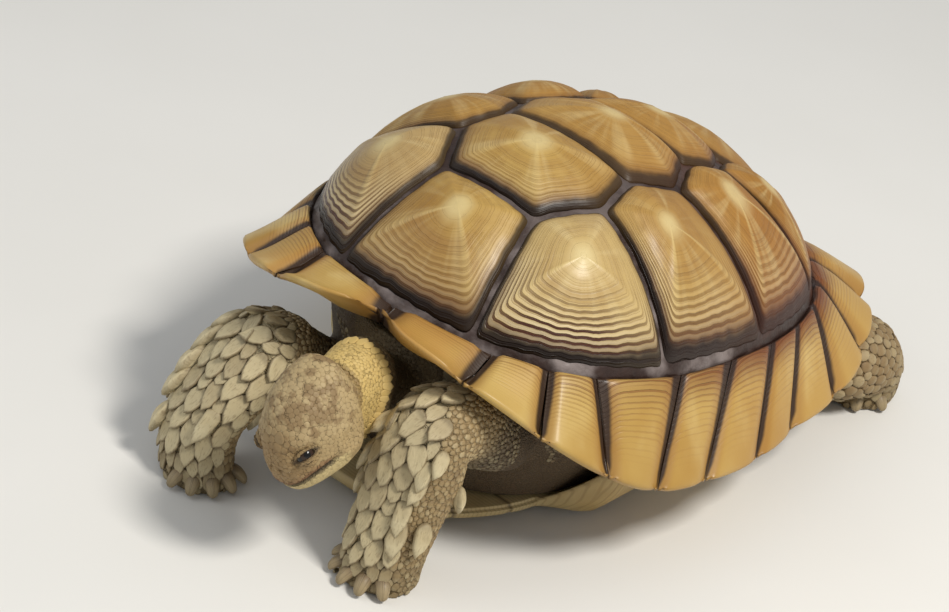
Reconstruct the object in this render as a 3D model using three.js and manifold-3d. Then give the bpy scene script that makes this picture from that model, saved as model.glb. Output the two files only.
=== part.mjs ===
// A sulcata tortoise (Centrochelys sulcata), a grown male, life size and still.
// Millimetres, +Z up. The head points to -Y and the animal's left side is +X.
// The shell is built level in a frame of its own, which the pose then tips and lifts;
// head, neck, tail and legs are built where they stand.
import * as THREE from 'three';
import { mergeVertices } from 'three/addons/utils/BufferGeometryUtils.js';
import ManifoldModule from 'manifold-3d';

// ---------------------------------------------------------------- driving dimensions

// Pose of the shell: front raised, a slight lean to the left, and its height over the floor.
const PITCH = THREE.MathUtils.degToRad(7.2);
const LEAN = THREE.MathUtils.degToRad(2.1);
const SHELL_LIFT = 94;

// Dome of the carapace: z = H (1 - r^M)^K, where r runs from 0 at the top to 1 at the base.
const DOME = { halfWidth: 215, front: 235, back: 335, middle: -50, widen: 0.076 };
const DOME_HEIGHT = 199;
const DOME_PLAN_POWER = 2.37;
const DOME_M = 2.164;
const DOME_K = 0.57;
const SEAM_R = 0.89; // ring where the costal plates end and the marginal plates begin

// Rim of the marginals: how far it stands out, and how high it runs round the shell.
const RIM = { out: 25, level: -6, frontRise: 82, frontFrom: -124, rearRise: 53 };
const REAR_FLARE = { out: 40.5, angle: 166, width: 35, droop: 0.6 };
// Where the rim swells, by angle from the front: how far out and how high it moves there.
const SIDE_TUCK = { angle: 106, width: 10.6, out: -10, rise: 0 };
const RIGHT_WING = [
  { angle: 25, width: 21, out: 4, rise: -8 }, // rolled down beside the neck
  { angle: 55, width: 11, out: 3, rise: 11 }, // upturned corner
  { angle: 78, width: 11, out: -11, rise: 0 }, // drawn in before the bridge
];
const NOTCH = { depth: 24, width: 26 }; // notch over the neck
const SCALLOP = 5;
const REAR_SCALLOP = 13;

// Plates.
const PLATE_UNDER = 3; // underside of a plate below the dome
const CORE_UNDER = 6.5; // dark bony bed below the dome
const PLATE_GAP = 6; // open seam between two plates
const MARGINAL_GAP = 1.6;
const CORE_WALL = 12;
const BUMP = 15; // height of a plate's centre over the dome

// Plastron, which lies flatter than the carapace.
const PLASTRON = { level: -80, slope: 0.125, thick: 9, front: -236, back: 214, bridge: 104 };

const LEFT = 1;
const RIGHT = -1;
const rad = THREE.MathUtils.degToRad;
const vec = (x, y, z) => new THREE.Vector3(x, y, z);

// ---------------------------------------------------------------- solids

const wasm = await ManifoldModule();
wasm.setup();

// A closed surface through rows of points. Rows are rings with one count of points,
// and a row of a single point closes an end.
function loft(rows) {
  const count = Math.max(...rows.map((row) => row.length));
  const starts = [];
  const points = [];
  for (const row of rows) {
    starts.push(points.length);
    points.push(...row);
  }
  const faces = [];
  for (let i = 0; i + 1 < rows.length; i += 1) {
    const at = (row, j) => starts[row] + (rows[row].length > 1 ? j % count : 0);
    for (let j = 0; j < count; j += 1) {
      if (rows[i].length > 1) faces.push([at(i, j), at(i, j + 1), at(i + 1, j + 1)]);
      if (rows[i + 1].length > 1) faces.push([at(i, j), at(i + 1, j + 1), at(i + 1, j)]);
    }
  }
  let volume = 0;
  for (const [a, b, c] of faces) {
    volume += points[a].dot(points[b].clone().cross(points[c]));
  }
  if (volume < 0) faces.forEach((face) => face.reverse());
  const geometry = new THREE.BufferGeometry();
  geometry.setFromPoints(points);
  geometry.setIndex(faces.flat());
  return geometry;
}

function toSolid(geometry) {
  const plain = new THREE.BufferGeometry();
  plain.setAttribute('position', geometry.getAttribute('position'));
  plain.setIndex(geometry.index);
  const merged = mergeVertices(plain, 1e-4);
  return new wasm.Manifold(new wasm.Mesh({
    numProp: 3,
    vertProperties: new Float32Array(merged.attributes.position.array),
    triVerts: new Uint32Array(merged.index.array),
  }));
}

function toGeometry(solid) {
  const mesh = solid.getMesh();
  const geometry = new THREE.BufferGeometry();
  geometry.setAttribute('position', new THREE.BufferAttribute(new Float32Array(mesh.vertProperties), 3));
  geometry.setIndex([...mesh.triVerts]);
  return geometry;
}

const join = (first, ...others) =>
  toGeometry(others.reduce((solid, other) => solid.add(toSolid(other)), toSolid(first)));

// What is left of the first shape, without the slivers that a cut can leave beside it.
function cut(first, ...others) {
  const left = others.reduce((solid, other) => solid.subtract(toSolid(other)), toSolid(first));
  const bodies = left.decompose().sort((a, b) => b.volume() - a.volume());
  return toGeometry(bodies[0].simplify(0.05));
}

// The same shape a little larger about its own centre, so that what it cuts keeps a gap.
function grown(geometry, gap) {
  const copy = geometry.clone();
  copy.computeBoundingBox();
  const centre = copy.boundingBox.getCenter(vec(0, 0, 0));
  const size = copy.boundingBox.getSize(vec(0, 0, 0));
  copy.translate(-centre.x, -centre.y, -centre.z);
  copy.scale(1 + (2 * gap) / size.x, 1 + (2 * gap) / size.y, 1 + (2 * gap) / size.z);
  copy.translate(centre.x, centre.y, centre.z);
  return copy;
}

// ---------------------------------------------------------------- carapace surface

const signedPower = (value, power) => Math.sign(value) * Math.abs(value) ** power;

const domeWidth = (y) => DOME.halfWidth * (1 + (DOME.widen * y) / 300);

// Plan position on ring r. The angle runs from the front (0) over the left side (90) to the back.
function ring(angle, r) {
  const reach = Math.cos(angle) > 0 ? DOME.front : DOME.back;
  const y = DOME.middle - signedPower(Math.cos(angle), 2 / DOME_PLAN_POWER) * reach * r;
  const x = signedPower(Math.sin(angle), 2 / DOME_PLAN_POWER) * domeWidth(y) * r;
  return [x, y];
}

function ringOf(x, y) {
  const reach = y < DOME.middle ? DOME.front : DOME.back;
  const across = Math.abs(x / domeWidth(y)) ** DOME_PLAN_POWER;
  const along = Math.abs((y - DOME.middle) / reach) ** DOME_PLAN_POWER;
  return (across + along) ** (1 / DOME_PLAN_POWER);
}

const heightAt = (r) => DOME_HEIGHT * (1 - Math.min(r, 0.9999) ** DOME_M) ** DOME_K;

// A point over the plan position (x, y), moved off the dome along its normal.
function onDome(x, y, lift = 0) {
  const step = 0.5;
  const height = (px, py) => heightAt(ringOf(px, py));
  const normal = vec(
    (height(x - step, y) - height(x + step, y)) / (2 * step),
    (height(x, y - step) - height(x, y + step)) / (2 * step),
    1,
  ).normalize();
  return vec(x, y, height(x, y)).addScaledVector(normal, lift);
}

// The rim: u is the place within its marginal plate, from 0 at one seam to 1 at the next.
function rimPoint(angle, u = 0.5, inward = 0) {
  const [x, y] = ring(angle, 1);
  const round = Math.abs(THREE.MathUtils.radToDeg(angle > Math.PI ? angle - 2 * Math.PI : angle));
  const flare = Math.exp(-(((round - REAR_FLARE.angle) / REAR_FLARE.width) ** 2));
  const right = angle < 0 || angle > Math.PI;
  const swells = [SIDE_TUCK, ...(right ? RIGHT_WING : [])].map((swell) => {
    const share = Math.exp(-(((round - swell.angle) / swell.width) ** 2));
    return [swell.out * share, swell.rise * share];
  });
  const swell = swells.reduce((sum, [out, rise]) => [sum[0] + out, sum[1] + rise], [0, 0]);
  const scallop = THREE.MathUtils.lerp(SCALLOP, REAR_SCALLOP, flare) * Math.abs(2 * u - 1) ** 3;
  const out = RIM.out + REAR_FLARE.out * flare + swell[0] - scallop - inward;
  const scale = 1 + out / Math.hypot(x, y);
  const notch = NOTCH.depth * Math.exp(-((x / NOTCH.width) ** 2)) * (y < 0 ? 1 : 0);
  const front = THREE.MathUtils.clamp((RIM.frontFrom - y * scale) / 176, 0, 1.1);
  const back = THREE.MathUtils.clamp((y * scale) / 300, 0, 1.2);
  const droop = 1 - REAR_FLARE.droop * THREE.MathUtils.smoothstep(round, 150, 180);
  const z = RIM.level + RIM.frontRise * front ** 1.7 + RIM.rearRise * back ** 1.5 * droop + swell[1];
  return vec(x * scale, y * scale + notch, z);
}

// ---------------------------------------------------------------- vertebral and costal plates

// Seam corners on the left side, in plan.
const CORNER = {
  v1v2: [48, -174],
  c1c2: [78, -119],
  v2v3: [67, -72],
  c2c3: [86, -18],
  v3v4: [64, 24],
  c3c4: [70, 72],
  v4v5: [54, 106],
};
// Angles at which the upper seams meet the marginals.
const MEET = { v1c1: 19, c1c2: 74, c2c3: 100, c3c4: 128, c4v5: 158 };

function ringArc(from, to, step = 14) {
  const pieces = Math.max(1, Math.round(Math.abs(to - from) / step));
  const points = [];
  for (let i = 0; i <= pieces; i += 1) {
    points.push(ring(rad(THREE.MathUtils.lerp(from, to, i / pieces)), SEAM_R));
  }
  return points;
}

const mirror = ([x, y]) => [-x, y];

// Splits the long sides of an outline, so that a plate follows the dome.
function finer(corners, longest = 42) {
  const points = [];
  corners.forEach(([x, y], i) => {
    const [nx, ny] = corners[(i + 1) % corners.length];
    const pieces = Math.max(1, Math.ceil(Math.hypot(nx - x, ny - y) / longest));
    for (let k = 0; k < pieces; k += 1) {
      points.push([x + ((nx - x) * k) / pieces, y + ((ny - y) * k) / pieces]);
    }
  });
  return points;
}

// A horny plate: a low pyramid on the dome that peaks at its areola.
function plate(corners, [cx, cy], bump = BUMP) {
  const outline = finer(corners).map(([x, y]) => {
    const reach = Math.hypot(x - cx, y - cy);
    const keep = 1 - PLATE_GAP / 2 / reach;
    return [cx + (x - cx) * keep, cy + (y - cy) * keep];
  });
  const row = (s, lift) => outline.map(([x, y]) => onDome(cx + (x - cx) * s, cy + (y - cy) * s, lift));
  return loft([
    [onDome(cx, cy, -PLATE_UNDER)],
    row(0.36, -PLATE_UNDER),
    row(0.7, -PLATE_UNDER),
    row(1, -PLATE_UNDER),
    row(1, 0),
    row(0.93, 3),
    row(0.55, 3 + bump * 0.42),
    row(0.2, bump),
    [onDome(cx, cy, bump + 0.5)],
  ]);
}

const { v1v2, c1c2, v2v3, c2c3, v3v4, c3c4, v4v5 } = CORNER;

const VERTEBRALS = [
  { corners: [...ringArc(-MEET.v1c1, MEET.v1c1), v1v2, mirror(v1v2)], areola: [0, -204] },
  { corners: [mirror(v1v2), v1v2, c1c2, v2v3, mirror(v2v3), mirror(c1c2)], areola: [0, -120] },
  { corners: [mirror(v2v3), v2v3, c2c3, v3v4, mirror(v3v4), mirror(c2c3)], areola: [0, -14] },
  { corners: [mirror(v3v4), v3v4, c3c4, v4v5, mirror(v4v5), mirror(c3c4)], areola: [0, 62] },
  { corners: [mirror(v4v5), v4v5, ...ringArc(MEET.c4v5, 360 - MEET.c4v5)], areola: [0, 158] },
];

const COSTALS = [
  { corners: [v1v2, ...ringArc(MEET.v1c1, MEET.c1c2), c1c2], areola: [97, -170], bump: 17 },
  { corners: [c1c2, ...ringArc(MEET.c1c2, MEET.c2c3), c2c3, v2v3], areola: [112, -82], bump: 16 },
  { corners: [c2c3, ...ringArc(MEET.c2c3, MEET.c3c4), c3c4, v3v4], areola: [104, 30], bump: 15 },
  { corners: [c3c4, ...ringArc(MEET.c3c4, MEET.c4v5), v4v5], areola: [92, 122], bump: 13 },
];

// ---------------------------------------------------------------- marginal plates

// Seams between the marginals, as angles at their upper edge and at the rim.
const UPPER_SEAMS = [0, 26, 41, 54, 79, 92, 103, 114, 126, 139, 152, 166];
const RIM_SEAMS = [0, 23, 43, 61, 74, 86, 96, 106, 119, 134, 149, 165];
const MARGINAL_DEPTH = { rim: 9, inner: 16 };

// Section of a marginal plate, as a closed loop of points. The plate is one wedge of horn
// and bone, thin at the rim and thick where it meets the body of the shell.
function marginalSection(upper, lower, u, side) {
  const edge = (u - 0.5) * side;
  const shift = -Math.sign(edge) * (Math.abs(u - 0.5) > 0.45 ? MARGINAL_GAP / 2 / 230 : 0);
  const high = upper + shift;
  const low = lower + shift;
  const [sx, sy] = ring(high, SEAM_R + 0.012);
  const seam = onDome(sx, sy, 0);
  const rim = rimPoint(low, u);
  const lip = rimPoint(low, u, 5);
  const point = (v, bulge) => seam.clone().lerp(rim, v).add(vec(0, 0, bulge));
  const [ix, iy] = ring(high, SEAM_R - 0.018);
  const [lx, ly] = ring(low, SEAM_R - 0.018);
  const floor = Math.min(rim.z + 4, seam.z - MARGINAL_DEPTH.inner);
  return [
    vec(ix, iy, seam.z - 5),
    seam,
    point(0.08, 3),
    point(0.4, 5),
    point(0.75, 2),
    rim,
    vec(lip.x, lip.y, rim.z - MARGINAL_DEPTH.rim * 0.6),
    point(0.55, 0).setZ(Math.min(rim.z - 3, floor)),
    vec(lx, ly, floor),
  ];
}

function marginal(index, side) {
  const columns = [0, 0.25, 0.5, 0.75, 1];
  const last = UPPER_SEAMS.length - 1;
  const turn = (list, u) => {
    const next = index === last ? 360 - list[last] : list[index + 1];
    return rad(THREE.MathUtils.lerp(list[index], next, u)) * side;
  };
  const sections = columns.map((u) =>
    marginalSection(turn(UPPER_SEAMS, u), turn(RIM_SEAMS, u), u, side));
  const middle = (loop) =>
    loop.reduce((sum, p) => sum.add(p), vec(0, 0, 0)).divideScalar(loop.length);
  return loft([[middle(sections[0])], ...sections, [middle(sections.at(-1))]]);
}

// ---------------------------------------------------------------- carapace core, trunk, plastron

const AROUND = 36;

function ringRow(r, z) {
  const row = [];
  for (let i = 0; i < AROUND; i += 1) {
    const [x, y] = ring((i / AROUND) * 2 * Math.PI, r);
    row.push(typeof z === 'function' ? z(x, y, (i / AROUND) * 2 * Math.PI) : vec(x, y, z));
  }
  return row;
}

const under = (depth) => (x, y) => onDome(x, y, -depth);
const skirt = (drop) => (x, y, angle) =>
  vec(x, y, Math.min(rimPoint(angle).z + drop, heightAt(SEAM_R) - 22));

function carapaceCore() {
  return loft([
    [onDome(0, DOME.middle, -CORE_UNDER)],
    ...[0.2, 0.37, 0.52, 0.65, 0.77, 0.868].map((r) => ringRow(r, under(CORE_UNDER))),
    ringRow(0.864, skirt(5)),
    ringRow(0.846, skirt(5)),
    ...[0.842, 0.74, 0.6, 0.42, 0.22].map((r) => ringRow(r, under(CORE_WALL))),
    [onDome(0, DOME.middle, -CORE_WALL)],
  ]);
}

const plastronFloor = (y) => PLASTRON.level + PLASTRON.slope * y;

function trunk() {
  const level = (z) => (x, y) => vec(x, y, z);
  const floor = (x, y) => vec(x, y, plastronFloor(y) + PLASTRON.thick + 2.5);
  return loft([
    [onDome(0, DOME.middle, -CORE_WALL - 1)],
    ...[0.25, 0.5, 0.66, 0.77].map((r) => ringRow(r, under(CORE_WALL + 2.5))),
    ringRow(0.775, level(64)),
    ringRow(0.765, level(18)),
    ringRow(0.69, level(-34)),
    ringRow(0.58, floor),
    ringRow(0.3, floor),
    [floor(0, DOME.middle)],
  ]);
}

// Half the width of the plastron's flat face, and how far its bridges reach out and up.
function plastronShape(y) {
  const bridge = THREE.MathUtils.smoothstep(PLASTRON.bridge - Math.abs(y + 12), -8, 26);
  const toFront = THREE.MathUtils.clamp((y - PLASTRON.front) / 130, 0, 1);
  const toBack = THREE.MathUtils.clamp((PLASTRON.back - y) / 120, 0, 1);
  const lobe = y < 0 ? 46 + 62 * Math.sin((toFront * Math.PI) / 2) : 40 + 68 * Math.sin((toBack * Math.PI) / 2);
  return { half: THREE.MathUtils.lerp(lobe, 142, bridge), bridge };
}

function plastron() {
  const rows = [];
  for (let y = PLASTRON.front; y <= PLASTRON.back; y += 18) {
    const { half, bridge } = plastronShape(y);
    const floor = plastronFloor(y);
    const angle = Math.atan2(1, 0);
    const top = Math.min(rimPoint(angle).z + 3, 0) - floor;
    const reach = domeWidth(y) * 0.848 - half;
    const out = THREE.MathUtils.lerp(2, reach, bridge);
    const rise = THREE.MathUtils.lerp(PLASTRON.thick * 0.7, top, bridge);
    const t = PLASTRON.thick;
    const wall = THREE.MathUtils.lerp(3, 11, bridge);
    const side = [
      [half * 0.5, 0],
      [half, 0],
      [half + out * 0.62, rise * 0.34],
      [half + out, rise],
      [half + out - wall, Math.max(rise, t * 0.7)],
      [half + out * 0.62 - wall, Math.max(rise * 0.34 + t * 0.6, t)],
      [half - wall, t],
      [half * 0.5, t],
    ];
    const loop = [
      ...side.map(([x, z]) => vec(x, y, floor + z)),
      ...side.reverse().map(([x, z]) => vec(-x, y, floor + z)),
    ];
    rows.push(loop);
  }
  const centre = (loop) => loop.reduce((sum, p) => sum.add(p), vec(0, 0, 0)).divideScalar(loop.length);
  const first = centre(rows[0]).setX(0);
  const last = centre(rows.at(-1)).setX(0);
  return loft([[first], ...rows, [last]]);
}

// ---------------------------------------------------------------- limbs, neck and tail

// A limb through stations {at, w, t, flat}: w and t are half its width and thickness,
// and its width lies along the direction "wide" as far as the limb's own course allows.
// A limb that is bent sharply is joined from slices, so that its rings don't cross.
function limb(stations, wide, rings = 14, around = 16, bent = false) {
  const course = new THREE.CatmullRomCurve3(stations.map((s) => vec(...s.at)), false, 'centripetal');
  const last = stations.length - 1;
  const rows = [];
  for (let i = 0; i <= rings; i += 1) {
    const place = (i / rings) * last;
    const k = Math.min(Math.floor(place), last - 1);
    const mix = THREE.MathUtils.smoothstep(place - k, 0, 1);
    const w = THREE.MathUtils.lerp(stations[k].w, stations[k + 1].w, mix);
    const t = THREE.MathUtils.lerp(stations[k].t, stations[k + 1].t, mix);
    const centre = course.getPoint(i / rings);
    const ahead = i === rings && stations[last].level ? vec(0, 0, -1) : course.getTangent(i / rings);
    const across = vec(...wide).addScaledVector(ahead, -vec(...wide).dot(ahead)).normalize();
    const thick = ahead.clone().cross(across);
    const row = [];
    for (let j = 0; j < around; j += 1) {
      const turn = (j / around) * 2 * Math.PI;
      row.push(centre.clone()
        .addScaledVector(across, signedPower(Math.cos(turn), 0.9) * w)
        .addScaledVector(thick, signedPower(Math.sin(turn), 0.9) * t));
    }
    rows.push(row);
  }
  if (bent) {
    const slices = rows.slice(1).map((row, i) => wasm.Manifold.hull([...rows[i], ...row].map((p) => p.toArray())));
    return toGeometry(wasm.Manifold.union(slices).simplify(0.05));
  }
  return loft([[vec(...stations[0].at)], ...rows, [vec(...stations[last].at)]]);
}

// A claw, spur or raised scale: a cone from its root to its tip.
function spur(root, tip, radius, sides = 6) {
  const cone = new THREE.ConeGeometry(radius, 1, sides, 1);
  cone.deleteAttribute('normal');
  cone.deleteAttribute('uv');
  const from = vec(...root);
  const along = vec(...tip).sub(from);
  cone.translate(0, 0.5, 0);
  cone.scale(1, along.length(), 1);
  cone.applyQuaternion(new THREE.Quaternion().setFromUnitVectors(vec(0, 1, 0), along.clone().normalize()));
  cone.translate(from.x, from.y, from.z);
  return mergeVertices(cone, 1e-3);
}

// Claws round the front of a foot that stands at "at" and points to "heading".
function claws(at, heading, count, reach, length, spread) {
  const list = [];
  for (let i = 0; i < count; i += 1) {
    const turn = heading + rad(spread) * (i / (count - 1) - 0.5);
    const x = Math.sin(turn);
    const y = -Math.cos(turn);
    const root = [at[0] + x * (reach - 12), at[1] + y * (reach - 12), 15];
    const tip = [at[0] + x * (reach + length), at[1] + y * (reach + length), 2.5];
    list.push(spur(root, tip, 8));
  }
  return list;
}

// ---------------------------------------------------------------- head

// The head's own frame: -Y forward, +X left, +Z up, its origin in the middle of the skull.
const HEAD = { at: [20.5, -361, 142], down: rad(36), turn: rad(6), tilt: rad(-12) };
const HEAD_STATIONS = [
  // along, half width, top, bottom
  { y: 39, w: 22, top: 30, bottom: -33 },
  { y: 32, w: 31, top: 39, bottom: -43 },
  { y: 15, w: 36, top: 44, bottom: -47 },
  { y: -3, w: 35, top: 44, bottom: -47 },
  { y: -16, w: 29.5, top: 40, bottom: -45 },
  { y: -28, w: 24.5, top: 31, bottom: -41 },
  { y: -37, w: 19, top: 20, bottom: -37 },
  { y: -43, w: 13.5, top: 9, bottom: -32 },
  { y: -46.5, w: 8, top: -4, bottom: -24 },
];
const NAPE_SLANT = 0.28; // how far the crown reaches back over the neck, per height
const EYE = { at: [20, -26, 7], radius: 8.5 };

function headMatrix() {
  const turn = new THREE.Matrix4().makeRotationZ(HEAD.turn);
  const down = new THREE.Matrix4().makeRotationX(HEAD.down);
  const tilt = new THREE.Matrix4().makeRotationY(HEAD.tilt);
  return new THREE.Matrix4().makeTranslation(...HEAD.at).multiply(turn).multiply(down).multiply(tilt);
}

function headShape() {
  const around = 22;
  const rows = HEAD_STATIONS.map(({ y, w, top, bottom }) => {
    const middle = top * 0.25 + bottom * 0.75 + 14;
    const row = [];
    for (let j = 0; j < around; j += 1) {
      const turn = (j / around) * 2 * Math.PI;
      const up = Math.sin(turn);
      const rise = up > 0 ? top - middle : middle - bottom;
      const z = middle + signedPower(up, 0.9) * rise;
      const slant = NAPE_SLANT * z * THREE.MathUtils.clamp((y + 10) / 45, 0, 1);
      row.push(vec(signedPower(Math.cos(turn), 0.8) * w, y + slant, z));
    }
    return row;
  });
  const ends = [HEAD_STATIONS[0], HEAD_STATIONS.at(-1)].map(({ y, top, bottom }) =>
    [vec(0, y, (top + bottom) / 2)]);
  return loft([ends[0], ...rows, ends[1]]).applyMatrix4(headMatrix());
}

function eyeball(side) {
  const ball = new THREE.SphereGeometry(EYE.radius, 10, 6);
  ball.deleteAttribute('normal');
  ball.deleteAttribute('uv');
  ball.translate(EYE.at[0] * side, EYE.at[1], EYE.at[2]);
  return mergeVertices(ball, 1e-3).applyMatrix4(headMatrix());
}

// ---------------------------------------------------------------- the animal

const HORN = new THREE.MeshStandardMaterial({ color: '#b98a45', roughness: 0.45 });
const MARGIN_HORN = new THREE.MeshStandardMaterial({ color: '#c08a3c', roughness: 0.45 });
const SEAM_HORN = new THREE.MeshStandardMaterial({ color: '#3a2a20', roughness: 0.5 });
const PALE_HORN = new THREE.MeshStandardMaterial({ color: '#c9ad74', roughness: 0.5 });
const LEG_SKIN = new THREE.MeshStandardMaterial({ color: '#978a70', roughness: 0.75 });
const HEAD_SKIN = new THREE.MeshStandardMaterial({ color: '#a08a5c', roughness: 0.7 });
const TRUNK_SKIN = new THREE.MeshStandardMaterial({ color: '#7d6b4c', roughness: 0.8 });
const EYE_BLACK = new THREE.MeshStandardMaterial({ color: '#17110c', roughness: 0.1 });

function node(name, geometry, material) {
  const flat = geometry.toNonIndexed();
  flat.computeVertexNormals();
  const mesh = new THREE.Mesh(flat, material);
  mesh.name = name;
  return mesh;
}

const tortoise = new THREE.Group();
const shell = new THREE.Group();
shell.rotation.set(-PITCH, LEAN, 0, 'YXZ');
shell.position.set(0, 0, SHELL_LIFT);
shell.updateMatrix();
tortoise.add(shell);

VERTEBRALS.forEach(({ corners, areola, bump }, i) => {
  shell.add(node(`vertebral_${i + 1}`, plate(corners, areola, bump), HORN));
});
COSTALS.forEach(({ corners, areola, bump }, i) => {
  shell.add(node(`costal_left_${i + 1}`, plate(corners, areola, bump), HORN));
  shell.add(node(`costal_right_${i + 1}`, plate(corners.map(mirror), mirror(areola), bump), HORN));
});
for (let i = 0; i < 11; i += 1) {
  shell.add(node(`marginal_left_${i + 1}`, marginal(i, LEFT), MARGIN_HORN));
  shell.add(node(`marginal_right_${i + 1}`, marginal(i, RIGHT), MARGIN_HORN));
}
shell.add(node('supracaudal', marginal(11, LEFT), MARGIN_HORN));
shell.add(node('carapace_core', carapaceCore(), SEAM_HORN));
shell.add(node('plastron', plastron(), PALE_HORN));
shell.add(node('trunk', trunk(), TRUNK_SKIN));

// What the flesh outside the shell keeps clear of.
const trunkHere = grown(trunk(), 0.6).applyMatrix4(shell.matrix);
const plastronHere = grown(plastron(), 1.2).applyMatrix4(shell.matrix);
const coreHere = grown(carapaceCore(), 0.8).applyMatrix4(shell.matrix);

const skull = headShape();
const head = cut(skull, grown(eyeball(LEFT), 0.5), grown(eyeball(RIGHT), 0.5));

const neckStations = [
  { at: [0, -184, 100], w: 29, t: 30 },
  { at: [2, -232, 117], w: 26, t: 28 },
  { at: [5, -266, 130], w: 26, t: 30 },
  { at: [9, -292, 141], w: 34, t: 46 },
  { at: [13, -312, 148], w: 30, t: 40 },
  { at: [17, -336, 154], w: 26, t: 31 },
];
const neckShape = limb(neckStations, [1, 0, 0], 15, 20);
const neck = cut(neckShape, trunkHere, grown(skull, 0.5));

const FORE_LEFT = { foot: [74, -305, 0], heading: rad(-14) };
const foreLeft = limb([
  { at: [72, -132, 92], w: 28, t: 30 },
  { at: [90, -196, 100], w: 31, t: 30 },
  { at: [88, -248, 136], w: 32, t: 31 },
  { at: [84, -278, 136], w: 36, t: 31 },
  { at: [81, -289, 100], w: 40, t: 29 },
  { at: [78, -297, 58], w: 36, t: 27 },
  { at: [76, -303, 26], w: 34, t: 29 },
  { at: [74, -305, 0], w: 35, t: 31, level: true },
], [1, 0.35, 0], 16, 16);

const FORE_RIGHT = { foot: [-112, -318, 0], heading: rad(58) };
const foreRight = limb([
  { at: [-72, -132, 92], w: 28, t: 30 },
  { at: [-84, -196, 76], w: 28, t: 26 },
  { at: [-97, -241, 101], w: 31, t: 28 },
  { at: [-104, -266, 119], w: 40, t: 30 },
  { at: [-115, -291, 88], w: 46, t: 29 },
  { at: [-123, -312, 52], w: 40, t: 27 },
  { at: [-120, -318, 24], w: 34, t: 28 },
  { at: [-114, -320, 0], w: 33, t: 29, level: true },
], [0.85, -0.1, 0.4], 16, 16);

const hindLegStations = (side, foot) => [
  { at: [side * 66, 118, 62], w: 32, t: 30 },
  { at: [side * 104, 176, 56], w: 42, t: 34 },
  { at: [side * 26 + foot[0] * 0.8, foot[1] - 50, 50], w: 47, t: 38 },
  { at: [foot[0], foot[1] - 10, 38], w: 46, t: 44 },
  { at: [foot[0], foot[1], 14], w: 43, t: 42 },
  { at: [foot[0], foot[1], 0], w: 41, t: 40, level: true },
];
const HIND_LEFT = { foot: [165, 293, 0], heading: rad(20) };
const HIND_RIGHT = { foot: [-156, 244, 0], heading: rad(-22) };
const hindLeft = limb(hindLegStations(LEFT, HIND_LEFT.foot), [1, 0, 0], 12, 16);
const hindRight = limb(hindLegStations(RIGHT, HIND_RIGHT.foot), [1, 0, 0], 12, 16, true);

const tailShape = limb([
  { at: [0, 190, 60], w: 30, t: 26 },
  { at: [2, 232, 52], w: 24, t: 20 },
  { at: [6, 268, 34], w: 16, t: 13 },
  { at: [10, 296, 20], w: 8, t: 7 },
], [1, 0, 0], 8, 12);

const neckHere = grown(neckShape, 0.6);
const skullHere = grown(skull, 0.6);

tortoise.add(node('head', head, HEAD_SKIN));
tortoise.add(node('eye_left', eyeball(LEFT), EYE_BLACK));
tortoise.add(node('eye_right', eyeball(RIGHT), EYE_BLACK));
tortoise.add(node('neck', neck, HEAD_SKIN));

// The floor, which trims each foot to a flat sole.
const floorBlock = new THREE.BoxGeometry(1200, 1200, 100);
floorBlock.deleteAttribute('normal');
floorBlock.deleteAttribute('uv');
floorBlock.translate(0, 0, -50);

const clear = (shape) => cut(shape, trunkHere, plastronHere, coreHere, floorBlock);
tortoise.add(node('foreleg_left', cut(clear(join(foreLeft,
  ...claws(FORE_LEFT.foot, FORE_LEFT.heading, 5, 30, 13, 120))), neckHere, skullHere), LEG_SKIN));
tortoise.add(node('foreleg_right', cut(clear(join(foreRight,
  ...claws(FORE_RIGHT.foot, FORE_RIGHT.heading, 5, 28, 13, 120))), neckHere, skullHere), LEG_SKIN));
tortoise.add(node('hindleg_left', clear(join(hindLeft,
  ...claws(HIND_LEFT.foot, HIND_LEFT.heading, 4, 41, 10, 104))), LEG_SKIN));
tortoise.add(node('hindleg_right', clear(join(hindRight,
  ...claws(HIND_RIGHT.foot, HIND_RIGHT.heading, 4, 41, 10, 100))), LEG_SKIN));
tortoise.add(node('tail', clear(tailShape), LEG_SKIN));

// The origin: on the floor, under the middle of the whole animal.
tortoise.updateMatrixWorld(true);
const bounds = new THREE.Box3().setFromObject(tortoise, true);
const middle = bounds.getCenter(vec(0, 0, 0));
const model = new THREE.Group();
tortoise.position.set(-middle.x, -middle.y, -bounds.min.z);
model.add(tortoise);

export default model;
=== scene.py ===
# %% [markdown]
# # A sulcata tortoise, life size
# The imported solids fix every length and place. This lesson dresses them: horn plates with
# growth rings, one skin over all the flesh, and thousands of small overlapping scales.
# %% The fixed frame
import bpy
import bmesh
import math
import numpy as np
from mathutils import Matrix, Vector
from mathutils.bvhtree import BVHTree
from mathutils.kdtree import KDTree


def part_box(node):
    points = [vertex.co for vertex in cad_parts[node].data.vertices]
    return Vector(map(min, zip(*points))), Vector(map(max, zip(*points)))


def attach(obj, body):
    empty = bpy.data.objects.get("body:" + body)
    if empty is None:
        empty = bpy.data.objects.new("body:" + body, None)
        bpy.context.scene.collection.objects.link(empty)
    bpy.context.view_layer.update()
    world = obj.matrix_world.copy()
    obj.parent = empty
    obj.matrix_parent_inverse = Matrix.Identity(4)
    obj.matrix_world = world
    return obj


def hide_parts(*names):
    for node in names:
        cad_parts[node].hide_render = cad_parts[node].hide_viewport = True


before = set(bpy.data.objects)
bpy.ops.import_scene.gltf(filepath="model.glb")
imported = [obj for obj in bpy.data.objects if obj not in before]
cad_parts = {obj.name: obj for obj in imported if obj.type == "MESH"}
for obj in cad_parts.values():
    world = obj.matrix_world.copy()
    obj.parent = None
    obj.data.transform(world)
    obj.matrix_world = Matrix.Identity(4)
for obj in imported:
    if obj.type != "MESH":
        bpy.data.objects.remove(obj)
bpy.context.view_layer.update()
MM = 0.001

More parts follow.
